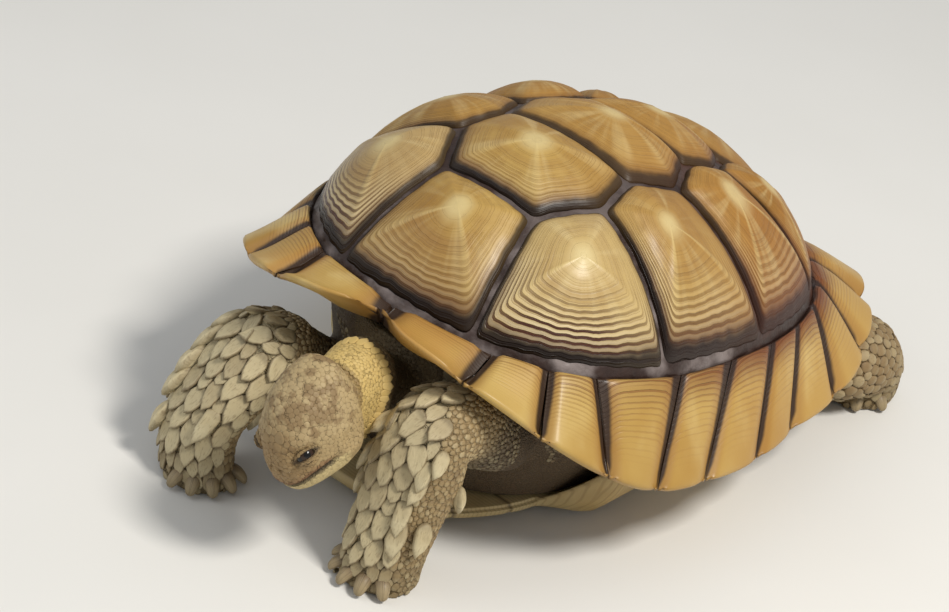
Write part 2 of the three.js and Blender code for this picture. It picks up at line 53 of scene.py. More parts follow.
# %% [markdown]
# ## The pose's two frames
# The head and the shell are each modelled in a frame of their own and then posed. Both frames
# are worked out here from the same named angles that the solids were built with, and the eye's
# solid tells how far the whole animal was moved to stand over the origin.
# %% Frames of the head and the shell
HEAD_AT = Vector((20.5, -361, 142)) * MM
HEAD_DOWN, HEAD_TURN, HEAD_TILT = (math.radians(a) for a in (36, 6, -12))
EYE = (20, -26, 7)  # the left eye's middle in the head's frame, in millimetres
EYE_RADIUS = 8.5
SHELL_PITCH, SHELL_LEAN, SHELL_LIFT = math.radians(7.2), math.radians(2.1), 94 * MM


def turned(angle, axis):
    return Matrix.Rotation(angle, 4, axis)


head_pose = turned(HEAD_TURN, "Z") @ turned(HEAD_DOWN, "X") @ turned(HEAD_TILT, "Y")
eye_low, eye_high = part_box("eye_left")
eye_middle = (Vector(eye_low) + Vector(eye_high)) / 2
SHIFT = eye_middle - HEAD_AT - (head_pose @ (Vector(EYE) * MM))
HEAD = Matrix.Translation(HEAD_AT + SHIFT) @ head_pose
SHELL = (Matrix.Translation(SHIFT + Vector((0, 0, SHELL_LIFT)))
         @ turned(SHELL_LEAN, "Y") @ turned(-SHELL_PITCH, "X"))
print("moved over the origin by", [round(v, 4) for v in SHIFT])


def posed(points, pose):
    """Rows of points in millimetres, set in the pose and in metres."""
    flat = np.asarray(points, float).reshape(-1, 3) * MM
    turn = np.array(pose.to_3x3())
    return (flat @ turn.T + np.array(pose.translation)).reshape(np.shape(points))


def to_frame(points, pose):
    """Points in metres, seen in the pose's own frame and in millimetres."""
    inverse = pose.inverted()
    return (points @ np.array(inverse.to_3x3()).T + np.array(inverse.translation)) / MM


def smooth(value, low, high):
    """0 up to low, 1 from high on, and a soft slope between them."""
    t = np.clip((value - low) / (high - low), 0, 1)
    return t * t * (3 - 2 * t)


def bell(value, width):
    return np.exp(-(value / width) ** 2)


# %% [markdown]
# ## The camera
# It looks down on the animal from its front left, from about two metres off, with a long lens
# and a slight roll.
# %% Camera
CAMERA_AT = Vector((1.1245, -1.8662, 1.3528)) + SHIFT
CAMERA_AIM = Vector((-0.0451, -0.0572, 0.1093)) + SHIFT
CAMERA_ROLL = math.radians(11.494)


def put(name, data):
    """A new object in the scene."""
    obj = bpy.data.objects.new(name, data)
    bpy.context.collection.objects.link(obj)
    return obj


def aim(obj, place, target, roll=0.0):
    """Sets a camera or a lamp at its place, looking at its target."""
    obj.location = place
    obj.rotation_mode = "QUATERNION"
    level_view = (Vector(target) - Vector(place)).to_track_quat("-Z", "Y")
    obj.rotation_quaternion = level_view @ Matrix.Rotation(roll, 3, "Z").to_quaternion()


camera = put("camera", bpy.data.cameras.new("camera"))
camera.data.lens = 107.13
camera.data.sensor_width = 36
camera.data.clip_end = 50
aim(camera, CAMERA_AT, CAMERA_AIM, CAMERA_ROLL)
bpy.context.scene.camera = camera

# %% [markdown]
# ## Light and floor
# An even world and two large soft lamps: a warm key from the animal's left and behind, and a
# weak fill. The floor is plain and pale.
# %% Light and floor
LAMPS_AIM = (0, 0, 0.1)
FLOOR_HALF_WIDTH = 12
bpy.context.scene.view_settings.view_transform = "Standard"
world = bpy.data.worlds.new("studio")
world.use_nodes = True
sky = world.node_tree.nodes["Background"].inputs
sky["Color"].default_value, sky["Strength"].default_value = (0.93, 0.96, 1.0, 1), 0.43
bpy.context.scene.world = world


def lamp(name, place, watts, size, colour):
    light = bpy.data.lights.new(name, "AREA")
    light.energy, light.size, light.color = watts, size, colour
    aim(put(name, light), place, LAMPS_AIM)


lamp("key", (1.9, -0.3, 2.8), 92, 0.7, (1.0, 0.965, 0.91))
lamp("fill", (-1.6, -1.8, 1.8), 14, 2.0, (0.92, 0.96, 1.0))


def as_mesh(bm, name):
    mesh = bpy.data.meshes.new(name)
    bm.to_mesh(mesh)
    bm.free()
    return mesh


floor_grid = bmesh.new()
bmesh.ops.create_grid(floor_grid, x_segments=1, y_segments=1, size=FLOOR_HALF_WIDTH)
floor = put("floor", as_mesh(floor_grid, "floor"))

# %% [markdown]
# ## Shader sums
# A finish is a formula. One small class wraps a node's output, so that the formula reads as
# Python. The other is a material: it adds nodes, and its colour is painted layer by layer.
# %% Shader helpers


class Value:
    """A node's output that adds Math nodes when it takes part in a sum."""

    def __init__(self, finish, output):
        self.finish, self.output = finish, output

    def _sum(self, operation, first, second=0.0):
        return self.finish.add("Math", {"operation": operation}, {0: first, 1: second})

    def __add__(self, other): return self._sum("ADD", self, other)
    def __radd__(self, other): return self._sum("ADD", other, self)
    def __sub__(self, other): return self._sum("SUBTRACT", self, other)
    def __rsub__(self, other): return self._sum("SUBTRACT", other, self)
    def __mul__(self, other): return self._sum("MULTIPLY", self, other)
    def __rmul__(self, other): return self._sum("MULTIPLY", other, self)
    def __pow__(self, other): return self._sum("POWER", self, other)
    def sine(self): return self._sum("SINE", self)
    def highest(self, other): return self._sum("MAXIMUM", self, other)


def tint(code):
    """A colour as written on a paint chip, '#rrggbb', made linear."""
    parts = [int(code[i:i + 2], 16) / 255 for i in (1, 3, 5)]
    return tuple(c / 12.92 if c <= 0.04045 else ((c + 0.055) / 1.055) ** 2.4 for c in parts) + (1,)


class Finish:
    """A material and its formula."""

    def __init__(self, name, ground, **constants):
        self.material = bpy.data.materials.new(name)
        self.material.use_nodes = True
        self.tree = self.material.node_tree
        self.shader = self.tree.nodes["Principled BSDF"]
        self.colour = ground
        for socket, value in constants.items():
            self.shader.inputs[socket.replace("_", " ")].default_value = value

    def add(self, kind, settings, inputs, out=0):
        """Any node, with its settings, and with numbers or other outputs at its inputs."""
        node = self.tree.nodes.new("ShaderNode" + kind)
        for name, value in settings.items():
            setattr(node, name, value)
        for socket, value in inputs.items():
            if isinstance(value, Value):
                self.tree.links.new(value.output, node.inputs[socket])
            else:
                node.inputs[socket].default_value = value
        return Value(self, node.outputs[out])

    def place(self):
        return self.add("TexCoord", {}, {}, 3)

    def attribute(self, name, vector=False):
        return self.add("Attribute", {"attribute_name": name}, {}, 1 if vector else 2)

    def split(self, axis, vector=None):
        return self.add("SeparateXYZ", {}, {0: vector or self.place()}, "XYZ".index(axis))

    def noise(self, scale, detail=2.0, vector=None, stretch=None):
        vector = vector or self.place()
        if stretch:
            vector = self.add("Mapping", {}, {0: vector, 3: stretch})
        return self.add("TexNoise", {}, {"Vector": vector, "Scale": scale, "Detail": detail})

    def line_noise(self, along, scale, detail=2.0):
        return self.add("TexNoise", {"noise_dimensions": "1D"},
                        {"W": along, "Scale": scale, "Detail": detail})

    def step(self, value, low, high):
        return self.add("MapRange", {"interpolation_type": "SMOOTHSTEP"}, {0: value, 1: low, 2: high})

    def mix(self, first, second, amount):
        first, second = (tint(c) if isinstance(c, str) else c for c in (first, second))
        return self.add("Mix", {"data_type": "RGBA"}, {0: amount, 6: first, 7: second}, 2)

    def paint(self, over, amount):
        """Lays a colour over those before it, as far as the amount says."""
        self.colour = self.mix(self.colour, over, amount)

    def link(self, socket, value):
        self.tree.links.new(value.output, self.shader.inputs[socket])

    def close(self, roughness=None, height=None, depth=0.0):
        """Joins the formula to the shader; the relief's depth is in millimetres."""
        self.link("Base Color", self.colour)
        if roughness:
            self.link("Roughness", roughness)
        if height:
            relief = {"Height": height, "Distance": depth * MM, "Strength": 1.0}
            self.link("Normal", self.add("Bump", {}, relief))


f = Finish("pale_floor", "#dedcd6", Roughness=0.9)
f.paint("#e6e4df", f.noise(3.0, 3))
f.close()
floor.data.materials.append(f.material)

# %% [markdown]
# ## The dome under the plates
# The carapace follows one closed formula, the one that its solids were cut from: rings in plan,
# and a height for each ring. All plates are laid on it, so they meet as the real ones do.
# %% Dome of the carapace
DOME_HALF_WIDTH, DOME_FRONT, DOME_BACK, DOME_MIDDLE, DOME_WIDEN = 215, 235, 335, -50, 0.076
DOME_HEIGHT, PLAN_POWER, DOME_M, DOME_K, SEAM_RING = 199, 2.37, 2.164, 0.57, 0.89


def signed_power(value, power):
    return np.sign(value) * np.abs(value) ** power


def dome_width(y):
    return DOME_HALF_WIDTH * (1 + DOME_WIDEN * y / 300)


def ring(angle, r):
    """Plan place on ring r; the angle in degrees runs from the front over the left side."""
    a = np.radians(angle)
    reach = np.where(np.cos(a) > 0, DOME_FRONT, DOME_BACK)
    y = DOME_MIDDLE - signed_power(np.cos(a), 2 / PLAN_POWER) * reach * r
    return signed_power(np.sin(a), 2 / PLAN_POWER) * dome_width(y) * r, y


def dome_height(x, y):
    reach = np.where(y < DOME_MIDDLE, DOME_FRONT, DOME_BACK)
    r = (np.abs(x / dome_width(y)) ** PLAN_POWER
         + np.abs((y - DOME_MIDDLE) / reach) ** PLAN_POWER) ** (1 / PLAN_POWER)
    return DOME_HEIGHT * (1 - np.minimum(r, 0.9999) ** DOME_M) ** DOME_K


def on_dome(x, y, lift):
    """Points over plan places, moved off the dome along its normal."""
    x, y, lift = np.broadcast_arrays(np.asarray(x, float), np.asarray(y, float), lift)
    step = 0.5
    nx = (dome_height(x - step, y) - dome_height(x + step, y)) / (2 * step)
    ny = (dome_height(x, y - step) - dome_height(x, y + step)) / (2 * step)
    normal = np.stack([nx, ny, np.ones_like(nx)], -1)
    normal /= np.linalg.norm(normal, axis=-1, keepdims=True)
    return np.stack([x, y, dome_height(x, y)], -1) + normal * lift[..., None]


# %% [markdown]
# ## A sheet that closes on itself
# Every plate is one grid, bent round until its edges meet and then merged. The grid also
# carries numbers, such as how old the horn is at each point, that the finishes read.
# %% Closed grids


def fill(layer, field, values, kind=np.float32):
    layer.foreach_set(field, np.asarray(values).astype(kind).ravel())


def give_numbers(mesh, numbers):
    """Numbers at a mesh's points; those that come in three axes are vectors."""
    for title, values in numbers.items():
        kind, field = ("FLOAT_VECTOR", "vector") if np.ndim(values) == 3 else ("FLOAT", "value")
        fill(mesh.attributes.new(title, kind, "POINT").data, field, values)


def closed_grid(name, rows, finish, **numbers):
    """A grid through rows of points, merged where it meets itself."""
    count, width = rows.shape[:2]
    bm = bmesh.new()
    bmesh.ops.create_grid(bm, x_segments=width - 1, y_segments=count - 1, size=1)
    mesh = bpy.data.meshes.new(name)
    bm.to_mesh(mesh)
    fill(mesh.vertices, "co", rows)
    give_numbers(mesh, {title: values if np.ndim(values) == 3 else np.broadcast_to(values, (count, width))
                        for title, values in numbers.items()})
    bm.clear()
    bm.from_mesh(mesh)
    bmesh.ops.remove_doubles(bm, verts=bm.verts, dist=2e-6)
    bmesh.ops.dissolve_degenerate(bm, edges=bm.edges, dist=1e-6)
    bmesh.ops.recalc_face_normals(bm, faces=bm.faces)
    for face in bm.faces:
        face.smooth = True
    bm.to_mesh(mesh)
    bm.free()
    mesh.materials.append(finish.material)
    obj = put(name, mesh)
    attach(obj, "root")
    return obj


# %% [markdown]
# ## Horn with growth rings
# Each year adds a rim of horn round the plate, so the rings keep the plate's outline and crowd
# together near its edge. The number `growth` is 0 in the middle of the plate and 1 at its
# edge, `ridge` marks the lines from the middle to the corners, and `fall` the downhill side.
# `bold` says how strongly a plate shows its rings.
# %% Horn of the plates
RING_COUNT = 16.0


def horn_of_plates():
    f = Finish("plate_horn", "#b3924e", Coat_Roughness=0.2, Specular_IOR_Level=0.35)
    growth, ridge, fall, bold = (f.attribute(n) for n in ("growth", "ridge", "fall", "bold"))
    bearing = f.attribute("bearing", vector=True)
    sway, fine = f.noise(9.0, 2) - 0.5, f.noise(70.0, 3) - 0.5
    pucker = f.noise(1.5, 1, vector=bearing) - 0.5
    age = growth.highest(0.0) ** 1.25 * RING_COUNT + sway * 1.3 + pucker * growth * 1.3 + fine * 0.2
    wave = (age * (2 * math.pi)).sine() * 0.5 + 0.5
    low = f.step(fall + sway * 0.5, 0.35, 0.92)
    strength = f.line_noise(age, 0.8, 1.0) + 0.6 * (f.noise(15.0, 2) - 0.5)
    line = f.step(wave * 0.8 + strength * 0.5 + 0.24 * low * growth, 0.80, 1.08)
    hair = f.step(f.line_noise(age, 4.0, 1.0) + 0.4 * fine, 0.56, 0.74)
    shown = f.step(growth, 0.20, 0.98) * (0.10 + 0.90 * low) * bold
    rear = f.step(f.split("Y") + 0.1 * sway, -0.10, 0.09)
    patch, streak = f.noise(7.0, 3), f.noise(2.6, 2, vector=bearing)
    band = f.step(f.line_noise(age, 0.28, 2.0), 0.44, 0.66) * f.step(growth, 0.25, 0.7)
    newest = f.step(growth + sway * 0.06 + pucker * 0.08, 0.74, 0.93)
    rim = f.step(growth + fine * 0.05 + sway * 0.07, 0.865, 0.945)
    f.paint("#9b7534", f.step(patch + 0.2 * fine, 0.38, 0.66))
    f.paint("#9a6724", rear * (0.58 + 0.34 * low))
    f.paint("#865920", f.step(f.noise(4.6, 3) + 0.25 * sway, 0.50, 0.72) * 0.42)
    f.paint("#d0b982", f.step(streak, 0.46, 0.72) * f.step(growth, 0.12, 0.4)
            * (1 - f.step(growth, 0.6, 0.95)) * 0.4)
    f.paint("#cbbd94", f.step(bold, 0.5, 1.3) * (0.08 + 0.36 * patch))
    f.paint("#d6c590", (1 - f.step(growth + sway * 0.3, 0.04, 0.30)) * 0.62)
    # Pale bands down the ridges to the lower corners: partly the horn's own colour, partly a painted
    # highlight on the ridges.
    f.paint("#d2bb80", f.step(ridge, 0.4, 1.0) * (1 - f.step(growth, 0.5, 0.98)) * 0.5 * low)
    f.paint("#8a6630", hair * f.step(growth, 0.2, 0.6) * 0.38)
    f.paint("#83592a", band * (0.20 + 0.45 * low))
    # Painted highlight: pale lines on the ridges between the dark rings towards the plate's edge, strongest
    # on the downhill side.
    f.paint("#e8dcb8", (1 - wave) * shown * f.step(growth, 0.4, 0.9) * 0.5)
    f.paint(f.mix("#52301a", "#3f1c10", f.step(growth, 0.5, 0.9)), line * shown * 0.95)
    f.paint(f.mix("#55301a", "#6b3a17", rear), newest * (0.20 + 0.45 * low + 0.25 * rear * low))
    f.paint(f.mix("#1a0f09", "#34170b", rear * low), rim * (0.84 + 0.15 * low))
    f.link("Coat Weight", 0.12 * (1 - rim) * (1 - 0.8 * rear))
    f.close(0.40 + 0.14 * f.noise(26.0, 3) - 0.12 * low * growth * bold + 0.08 * rear,
            0 - line * shown + (wave * 0.7 + 0.2 * streak) * shown * growth - 0.25 * hair
            + 0.25 * fine + 0.12 * f.noise(240.0, 2), 0.75)
    return f


plate_horn = horn_of_plates()

# %% [markdown]
# ## Vertebral and costal plates
# The seams' corners lie where the solids have them. An outline is rounded a little, and rings
# from it run inwards to the plate's oldest point, its middle, where the low pyramid peaks.
# %% Outlines of the plates
CORNER = {"v1v2": (48, -174), "c1c2": (78, -119), "v2v3": (67, -72), "c2c3": (86, -18),
          "v3v4": (64, 24), "c3c4": (70, 72), "v4v5": (54, 106)}
MEET = {"v1c1": 19, "c1c2": 74, "c2c3": 100, "c3c4": 128, "c4v5": 158}
PLATE_GAP, PLATE_UNDER = 5.4, 3.0


def arc(start, stop, step=4):
    angles = np.linspace(start, stop, max(2, round(abs(stop - start) / step) + 1))
    return [tuple(float(v) for v in ring(a, SEAM_RING + 0.010)) for a in angles]


def other_side(point):
    return (-point[0], point[1])


def vertebral(front, bulge, back):
    f, b, c = (CORNER[n] for n in (front, back, bulge))
    return [other_side(f), f, c, b, other_side(b), other_side(c)]


PLATES = {
    "vertebral_1": (arc(-MEET["v1c1"], MEET["v1c1"]) + [CORNER["v1v2"], other_side(CORNER["v1v2"])],
                    (0, -204), 15),
    "vertebral_2": (vertebral("v1v2", "c1c2", "v2v3"), (0, -120), 15),
    "vertebral_3": (vertebral("v2v3", "c2c3", "v3v4"), (0, -14), 15),
    "vertebral_4": (vertebral("v3v4", "c3c4", "v4v5"), (0, 62), 15),
    "vertebral_5": ([other_side(CORNER["v4v5"]), CORNER["v4v5"]]
                    + arc(MEET["c4v5"], 360 - MEET["c4v5"]), (0, 158), 15),
}
COSTALS = {
    "1": ([CORNER["v1v2"]] + arc(MEET["v1c1"], MEET["c1c2"]) + [CORNER["c1c2"]], (97, -170), 17),
    "2": ([CORNER["c1c2"]] + arc(MEET["c1c2"], MEET["c2c3"]) + [CORNER["c2c3"], CORNER["v2v3"]],
          (112, -82), 16),
    "3": ([CORNER["c2c3"]] + arc(MEET["c2c3"], MEET["c3c4"]) + [CORNER["c3c4"], CORNER["v3v4"]],
          (104, 30), 15),
    "4": ([CORNER["c3c4"]] + arc(MEET["c3c4"], MEET["c4v5"]) + [CORNER["v4v5"]], (92, 122), 13),
}
for number, (corners, areola, bump) in COSTALS.items():
    PLATES["costal_left_" + number] = (corners, areola, bump)
    PLATES["costal_right_" + number] = ([other_side(c) for c in corners], other_side(areola), bump)


def fine_outline(corners, step=3.2):
    """Points every few millimetres round an outline, and how near each is to a corner."""
    p = np.array(corners, float)
    ahead, behind = np.roll(p, -1, 0) - p, p - np.roll(p, 1, 0)
    turn = np.abs(np.degrees(np.arctan2(behind[:, 0] * ahead[:, 1] - behind[:, 1] * ahead[:, 0],
                                        (behind * ahead).sum(1))))
    sharp = turn > 18
    points, near = [], []
    for i in range(len(p)):
        a, b = p[i], p[(i + 1) % len(p)]
        length = np.hypot(*(b - a))
        pieces = max(1, round(length / step))
        for k in range(pieces):
            t = k / pieces
            points.append(a + (b - a) * t)
            gap = min(t * length if sharp[i] else 1e3,
                      (1 - t) * length if sharp[(i + 1) % len(p)] else 1e3)
            near.append(math.exp(-(gap / 13.0) ** 2))
    points = np.array(points)
    for _ in range(3):
        points = points * 0.5 + (np.roll(points, 1, 0) + np.roll(points, -1, 0)) * 0.25
    return points, np.array(near)


# %% [markdown]
# ## Laying the plates
# Each outline is drawn in to its middle in steps of growth, lifted as a low crowned pillow and
# laid on the dome. Ridges run to its corners, and it closes underneath.
# %% Plates on the dome
GROWTH_STEPS = np.concatenate([np.linspace(0, 0.86, 25),
                               [0.88, 0.9, 0.92, 0.94, 0.955, 0.97, 0.98, 0.99, 1.0]])
# Across a plate: growth, and the height there as a length plus a share of the peak's height.
PILLOW = np.array(((0, 0.1, 0.25, 0.45, 0.65, 0.8, 0.9, 0.95, 0.975, 0.99, 1),
                   (0.2, 0.2, 0.9, 1.9, 2.5, 2.5, 1.7, 0.5, -0.6, -1.6, -2.6),
                   (1, 0.97, 0.86, 0.63, 0.39, 0.19, 0.08, 0.04, 0.02, 0, 0)))
BOLD = {"costal_left_1": 1.35, "costal_right_1": 1.1, "costal_left_2": 0.7, "costal_left_3": 0.5,
        "vertebral_1": 0.48}
FAINT, CREASE_HEIGHT, UNDER_EVERY = 0.3, 0.6, 6
rng = np.random.default_rng(7)


def close_round(values):
    """One row of values round a plate, with the first repeated at the end."""
    return np.append(values, values[0])[None, :]


def dome_plate(name, corners, middle, bump):
    outline, near = fine_outline(corners)
    cx, cy = middle
    away = outline - np.array(middle)
    reach = np.hypot(away[:, 0], away[:, 1])
    waver = 0.7 * np.sin(np.arange(len(reach)) * 0.9 + rng.uniform(0, 6)) * rng.uniform(0.3, 1, len(reach))
    away = away * (1 - (PLATE_GAP / 2 + waver * 0.6) / reach)[:, None]
    downhill = np.array([cx, cy - DOME_MIDDLE])
    steep = min(1.0, np.hypot(*downhill) / 90)
    downhill = downhill / max(np.hypot(*downhill), 1e-6)
    fall = 0.5 + 0.5 * steep * (away / reach[:, None]) @ downhill
    full = np.hypot(away[:, 0], away[:, 1])
    even = (0.9 * full.mean() / full)[None, :]
    g = GROWTH_STEPS[:, None]
    g_round = g * (even + (1 - even) * g ** 0.7)
    lift = np.interp(GROWTH_STEPS, PILLOW[0], PILLOW[1] + bump * PILLOW[2])
    crease = CREASE_HEIGHT * near[None, :] * np.sin(np.pi * np.clip(g, 0, 1)) ** 1.5

    def laid(share, height):
        return on_dome(cx + away[None, :, 0] * share, cy + away[None, :, 1] * share, height)

    under = laid(g[::-UNDER_EVERY], -PLATE_UNDER)
    rows = np.concatenate([laid(g_round, lift[:, None] + crease), under, laid(0.0, -PLATE_UNDER)])
    rows = np.concatenate([rows, rows[:, :1]], axis=1)
    growth = np.concatenate([GROWTH_STEPS, np.ones(len(under) + 1)])[:, None]
    way = away / full[:, None]
    bearing = np.stack(np.broadcast_arrays(close_round(way[:, 0]), close_round(way[:, 1]),
                                           3.7 * rng.uniform(0, 9) + 0.2 * growth), -1)
    obj = closed_grid(name + "_horn", posed(rows, SHELL), plate_horn, growth=growth, ridge=close_round(near),
                      fall=close_round(fall), bearing=bearing, bold=BOLD.get(name, FAINT))
    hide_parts(name)


for name, (corners, middle, bump) in PLATES.items():
    dome_plate(name, corners, middle, bump)
print(len(PLATES), "dome plates")

# %% [markdown]
# ## The dark bed in the seams
# Between the plates lies soft new horn, dark brown with a grey-lilac bloom, partly the horn's own
# and partly a painted sheen. It is one dome a few millimetres under the plates, with its skirt
# turned down behind the rim plates.
# %% Seam bed
seam_horn = f = Finish("seam_horn", "#1f1512", Specular_IOR_Level=0.4)
bloom_and_sheen, grain = f.step(f.noise(22.0, 4), 0.42, 0.66), f.noise(120.0, 4)
to_rear, up_high = f.step(f.split("Y"), -0.02, 0.09), f.step(f.split("Z"), 0.245, 0.285)
f.paint("#3c2820", grain)
# The bloom is partly grey-lilac horn and partly a painted sheen of glossy horn; red-brown towards the tail
# and fainter high on the dome.
f.paint(f.mix("#968a86", "#5d3520", to_rear), bloom_and_sheen * (0.75 - 0.45 * up_high))
f.close(0.30 + 0.3 * grain, grain + 0.6 * f.noise(45.0, 3), 1.4)
AROUND = np.linspace(0, 360, 181)
BED_RINGS = (0.001, 0.1, 0.2, 0.3, 0.4, 0.5, 0.6, 0.7, 0.78, 0.84, 0.88, 0.905)
BED_RINGS_INSIDE = (0.87, 0.84, 0.78, 0.7, 0.5, 0.3, 0.001)
BED_DEPTH, BED_INSIDE_DEPTH, SKIRT = 2.6, 9.5, 16.0


def ring_rows(rings, lift):
    x, y = ring(AROUND[None, :], np.array(rings)[:, None])
    return on_dome(x, y, lift)


bed_top = ring_rows(BED_RINGS, -BED_DEPTH)
bed_rows = np.concatenate([bed_top, bed_top[-1:] - np.array([0, 0, SKIRT]),
                           ring_rows(BED_RINGS_INSIDE, -BED_INSIDE_DEPTH)])
bed = closed_grid("seam_bed", posed(bed_rows, SHELL), seam_horn)
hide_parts("carapace_core")

# %% [markdown]
# ## Horn of the rim
# The rim's plates are golden, with rings that run along the shell, dark brown where two plates
# meet, and a red-brown band under the costal plates that is widest towards the tail.
# %% Horn of the rim


def horn_of_rim():
    f = Finish("rim_horn", "#bb9d58", Coat_Weight=0.14, Coat_Roughness=0.25, Specular_IOR_Level=0.35)
    growth, edge, dish = (f.attribute(n) for n in ("growth", "edge", "fall"))
    sway, fine = f.noise(11.0, 2) - 0.5, f.noise(75.0, 3) - 0.5
    age = growth * 19.0 + (edge ** 2.2) * 1.2 + sway * 2.6 + fine * 0.4
    wave = (age * (2 * math.pi)).sine() * 0.5 + 0.5
    strength = f.line_noise(age, 0.9, 1.0) * 0.55 + 0.5 * (f.noise(21.0, 2) - 0.5)
    line = f.step(wave * 0.75 + strength, 0.74, 1.08)
    upper = f.step(growth + sway * 0.2, 0.55, 0.92)
    shown = (f.step(growth, 0.05, 0.7) * (0.25 + 0.5 * f.noise(6.0, 2)) + 0.5 * upper) * (1 - 0.6 * dish)
    rear = f.step(f.split("Y"), -0.20, 0.08)
    top = f.step(growth + fine * 0.06 + sway * 0.05, 0.935, 0.995)
    side = f.step(edge + fine * 0.05 + sway * 0.10 + 0.10 * growth
                  - 0.10 * (1 - f.step(growth, 0.0, 0.16)), 0.80, 0.92)
    f.paint("#a8833e", f.step(f.noise(8.0, 3), 0.38, 0.68))
    f.paint("#b0823a", rear * 0.5)
    f.paint("#ddc88c", f.step(f.noise(19.0, 3, stretch=(1, 1, 0.35)), 0.48, 0.76) * 0.45)
    f.paint("#b58543", dish * f.step(f.noise(12.0, 2), 0.35, 0.7) * 0.7)
    f.paint("#94662e", f.step(edge + sway * 0.2, 0.45, 0.80) * 0.5)
    f.paint("#7d4f20", line * shown * 0.75)
    f.paint("#6e3a18", upper * (0.2 + 0.75 * rear))
    f.paint("#27160e", side.highest(top) * 0.95)
    f.close(0.40 + 0.15 * f.noise(30.0, 3), 0 - line * shown + 0.3 * fine + 0.12 * f.noise(240.0, 2), 0.7)
    return f


rim_horn = horn_of_rim()

# %% [markdown]
# ## Marginal plates
# Eleven plates a side and one over the tail close the shell's edge. Each is a wedge: its top
# runs from the seam under the costals out to the rim, and its underside turns back in.
# %% Rim plates
RIM_OUT, RIM_LEVEL, RIM_FRONT_RISE, RIM_FRONT_FROM, RIM_REAR_RISE = 25, -6, 82, -124, 53
FLARE_OUT, FLARE_ANGLE, FLARE_WIDTH, FLARE_DROOP = 40.5, 166, 35, 0.6
# Swells of the rim: angle from the front, width, how far out, how high, and on which sides.
SWELLS = ((106, 10.6, -10, 0, "both"), (25, 21, 4, -8, "right"), (55, 11, 3, 11, "right"),
          (78, 11, -11, 0, "right"))
NOTCH_DEPTH, NOTCH_WIDTH, SCALLOP, REAR_SCALLOP = 24, 26, 5, 13
UPPER_SEAMS = (0, 26, 41, 54, 79, 92, 103, 114, 126, 139, 152, 166)
RIM_SEAMS = (0, 23, 43, 61, 74, 86, 96, 106, 119, 134, 149, 165)
# Places along a plate from seam to seam, and across it from the costals out to the rim.
PLATE_ALONG = np.concatenate([[0.012, 0.02, 0.04, 0.065, 0.095], np.linspace(0.13, 0.87, 13),
                              [0.905, 0.935, 0.96, 0.98, 0.988]])
PLATE_OUT = np.array([0.0, 0.02, 0.05, 0.09, 0.15, 0.23, 0.32, 0.42, 0.52, 0.62, 0.72, 0.81, 0.89,
                      0.95, 0.985])
# The height of its back over the straight way out, for a swollen and for a dished plate.
BACK_AT = (0, 0.02, 0.08, 0.2, 0.4, 0.6, 0.75, 0.9, 1)
BACK_SWOLLEN = (-3.5, -1.0, 3.0, 4.6, 5.0, 3.8, 2.4, 1.0, 0)
BACK_DISHED = (-3.5, -1.0, 2.4, 1.2, -1.6, -3.4, -3.2, -0.4, 1.8)
LIP, RIM_THICK, ROOT_THICK, UNDER_DROP = 5, 5.4, 8, 16


def rim_point(angle, u, inward=0.0):
    x, y = ring(angle, 1)
    turn = np.abs(np.where(angle > 180, angle - 360, angle))
    flare = np.exp(-(((turn - FLARE_ANGLE) / FLARE_WIDTH) ** 2))
    scallop = (SCALLOP + (REAR_SCALLOP - SCALLOP) * flare) * np.abs(2 * u - 1) ** 3
    out, rise = 0.0, 0.0
    for centre, width, swell_out, swell_rise, sides in SWELLS:
        share = np.exp(-(((turn - centre) / width) ** 2)) * np.where((angle > 180) | (sides == "both"), 1, 0)
        out, rise = out + swell_out * share, rise + swell_rise * share
    scale = 1 + (RIM_OUT + FLARE_OUT * flare + out - scallop - inward) / np.hypot(x, y)
    notch = NOTCH_DEPTH * np.exp(-((x / NOTCH_WIDTH) ** 2)) * (y < 0)
    front = np.clip((RIM_FRONT_FROM - y * scale) / 176, 0, 1.1)
    back = np.clip(y * scale / 300, 0, 1.2)
    droop = 1 - FLARE_DROOP * smooth(turn, 150, 180)
    z = RIM_LEVEL + RIM_FRONT_RISE * front ** 1.7 + RIM_REAR_RISE * back ** 1.5 * droop + rise
    return np.stack([x * scale, y * scale + notch, z], -1)


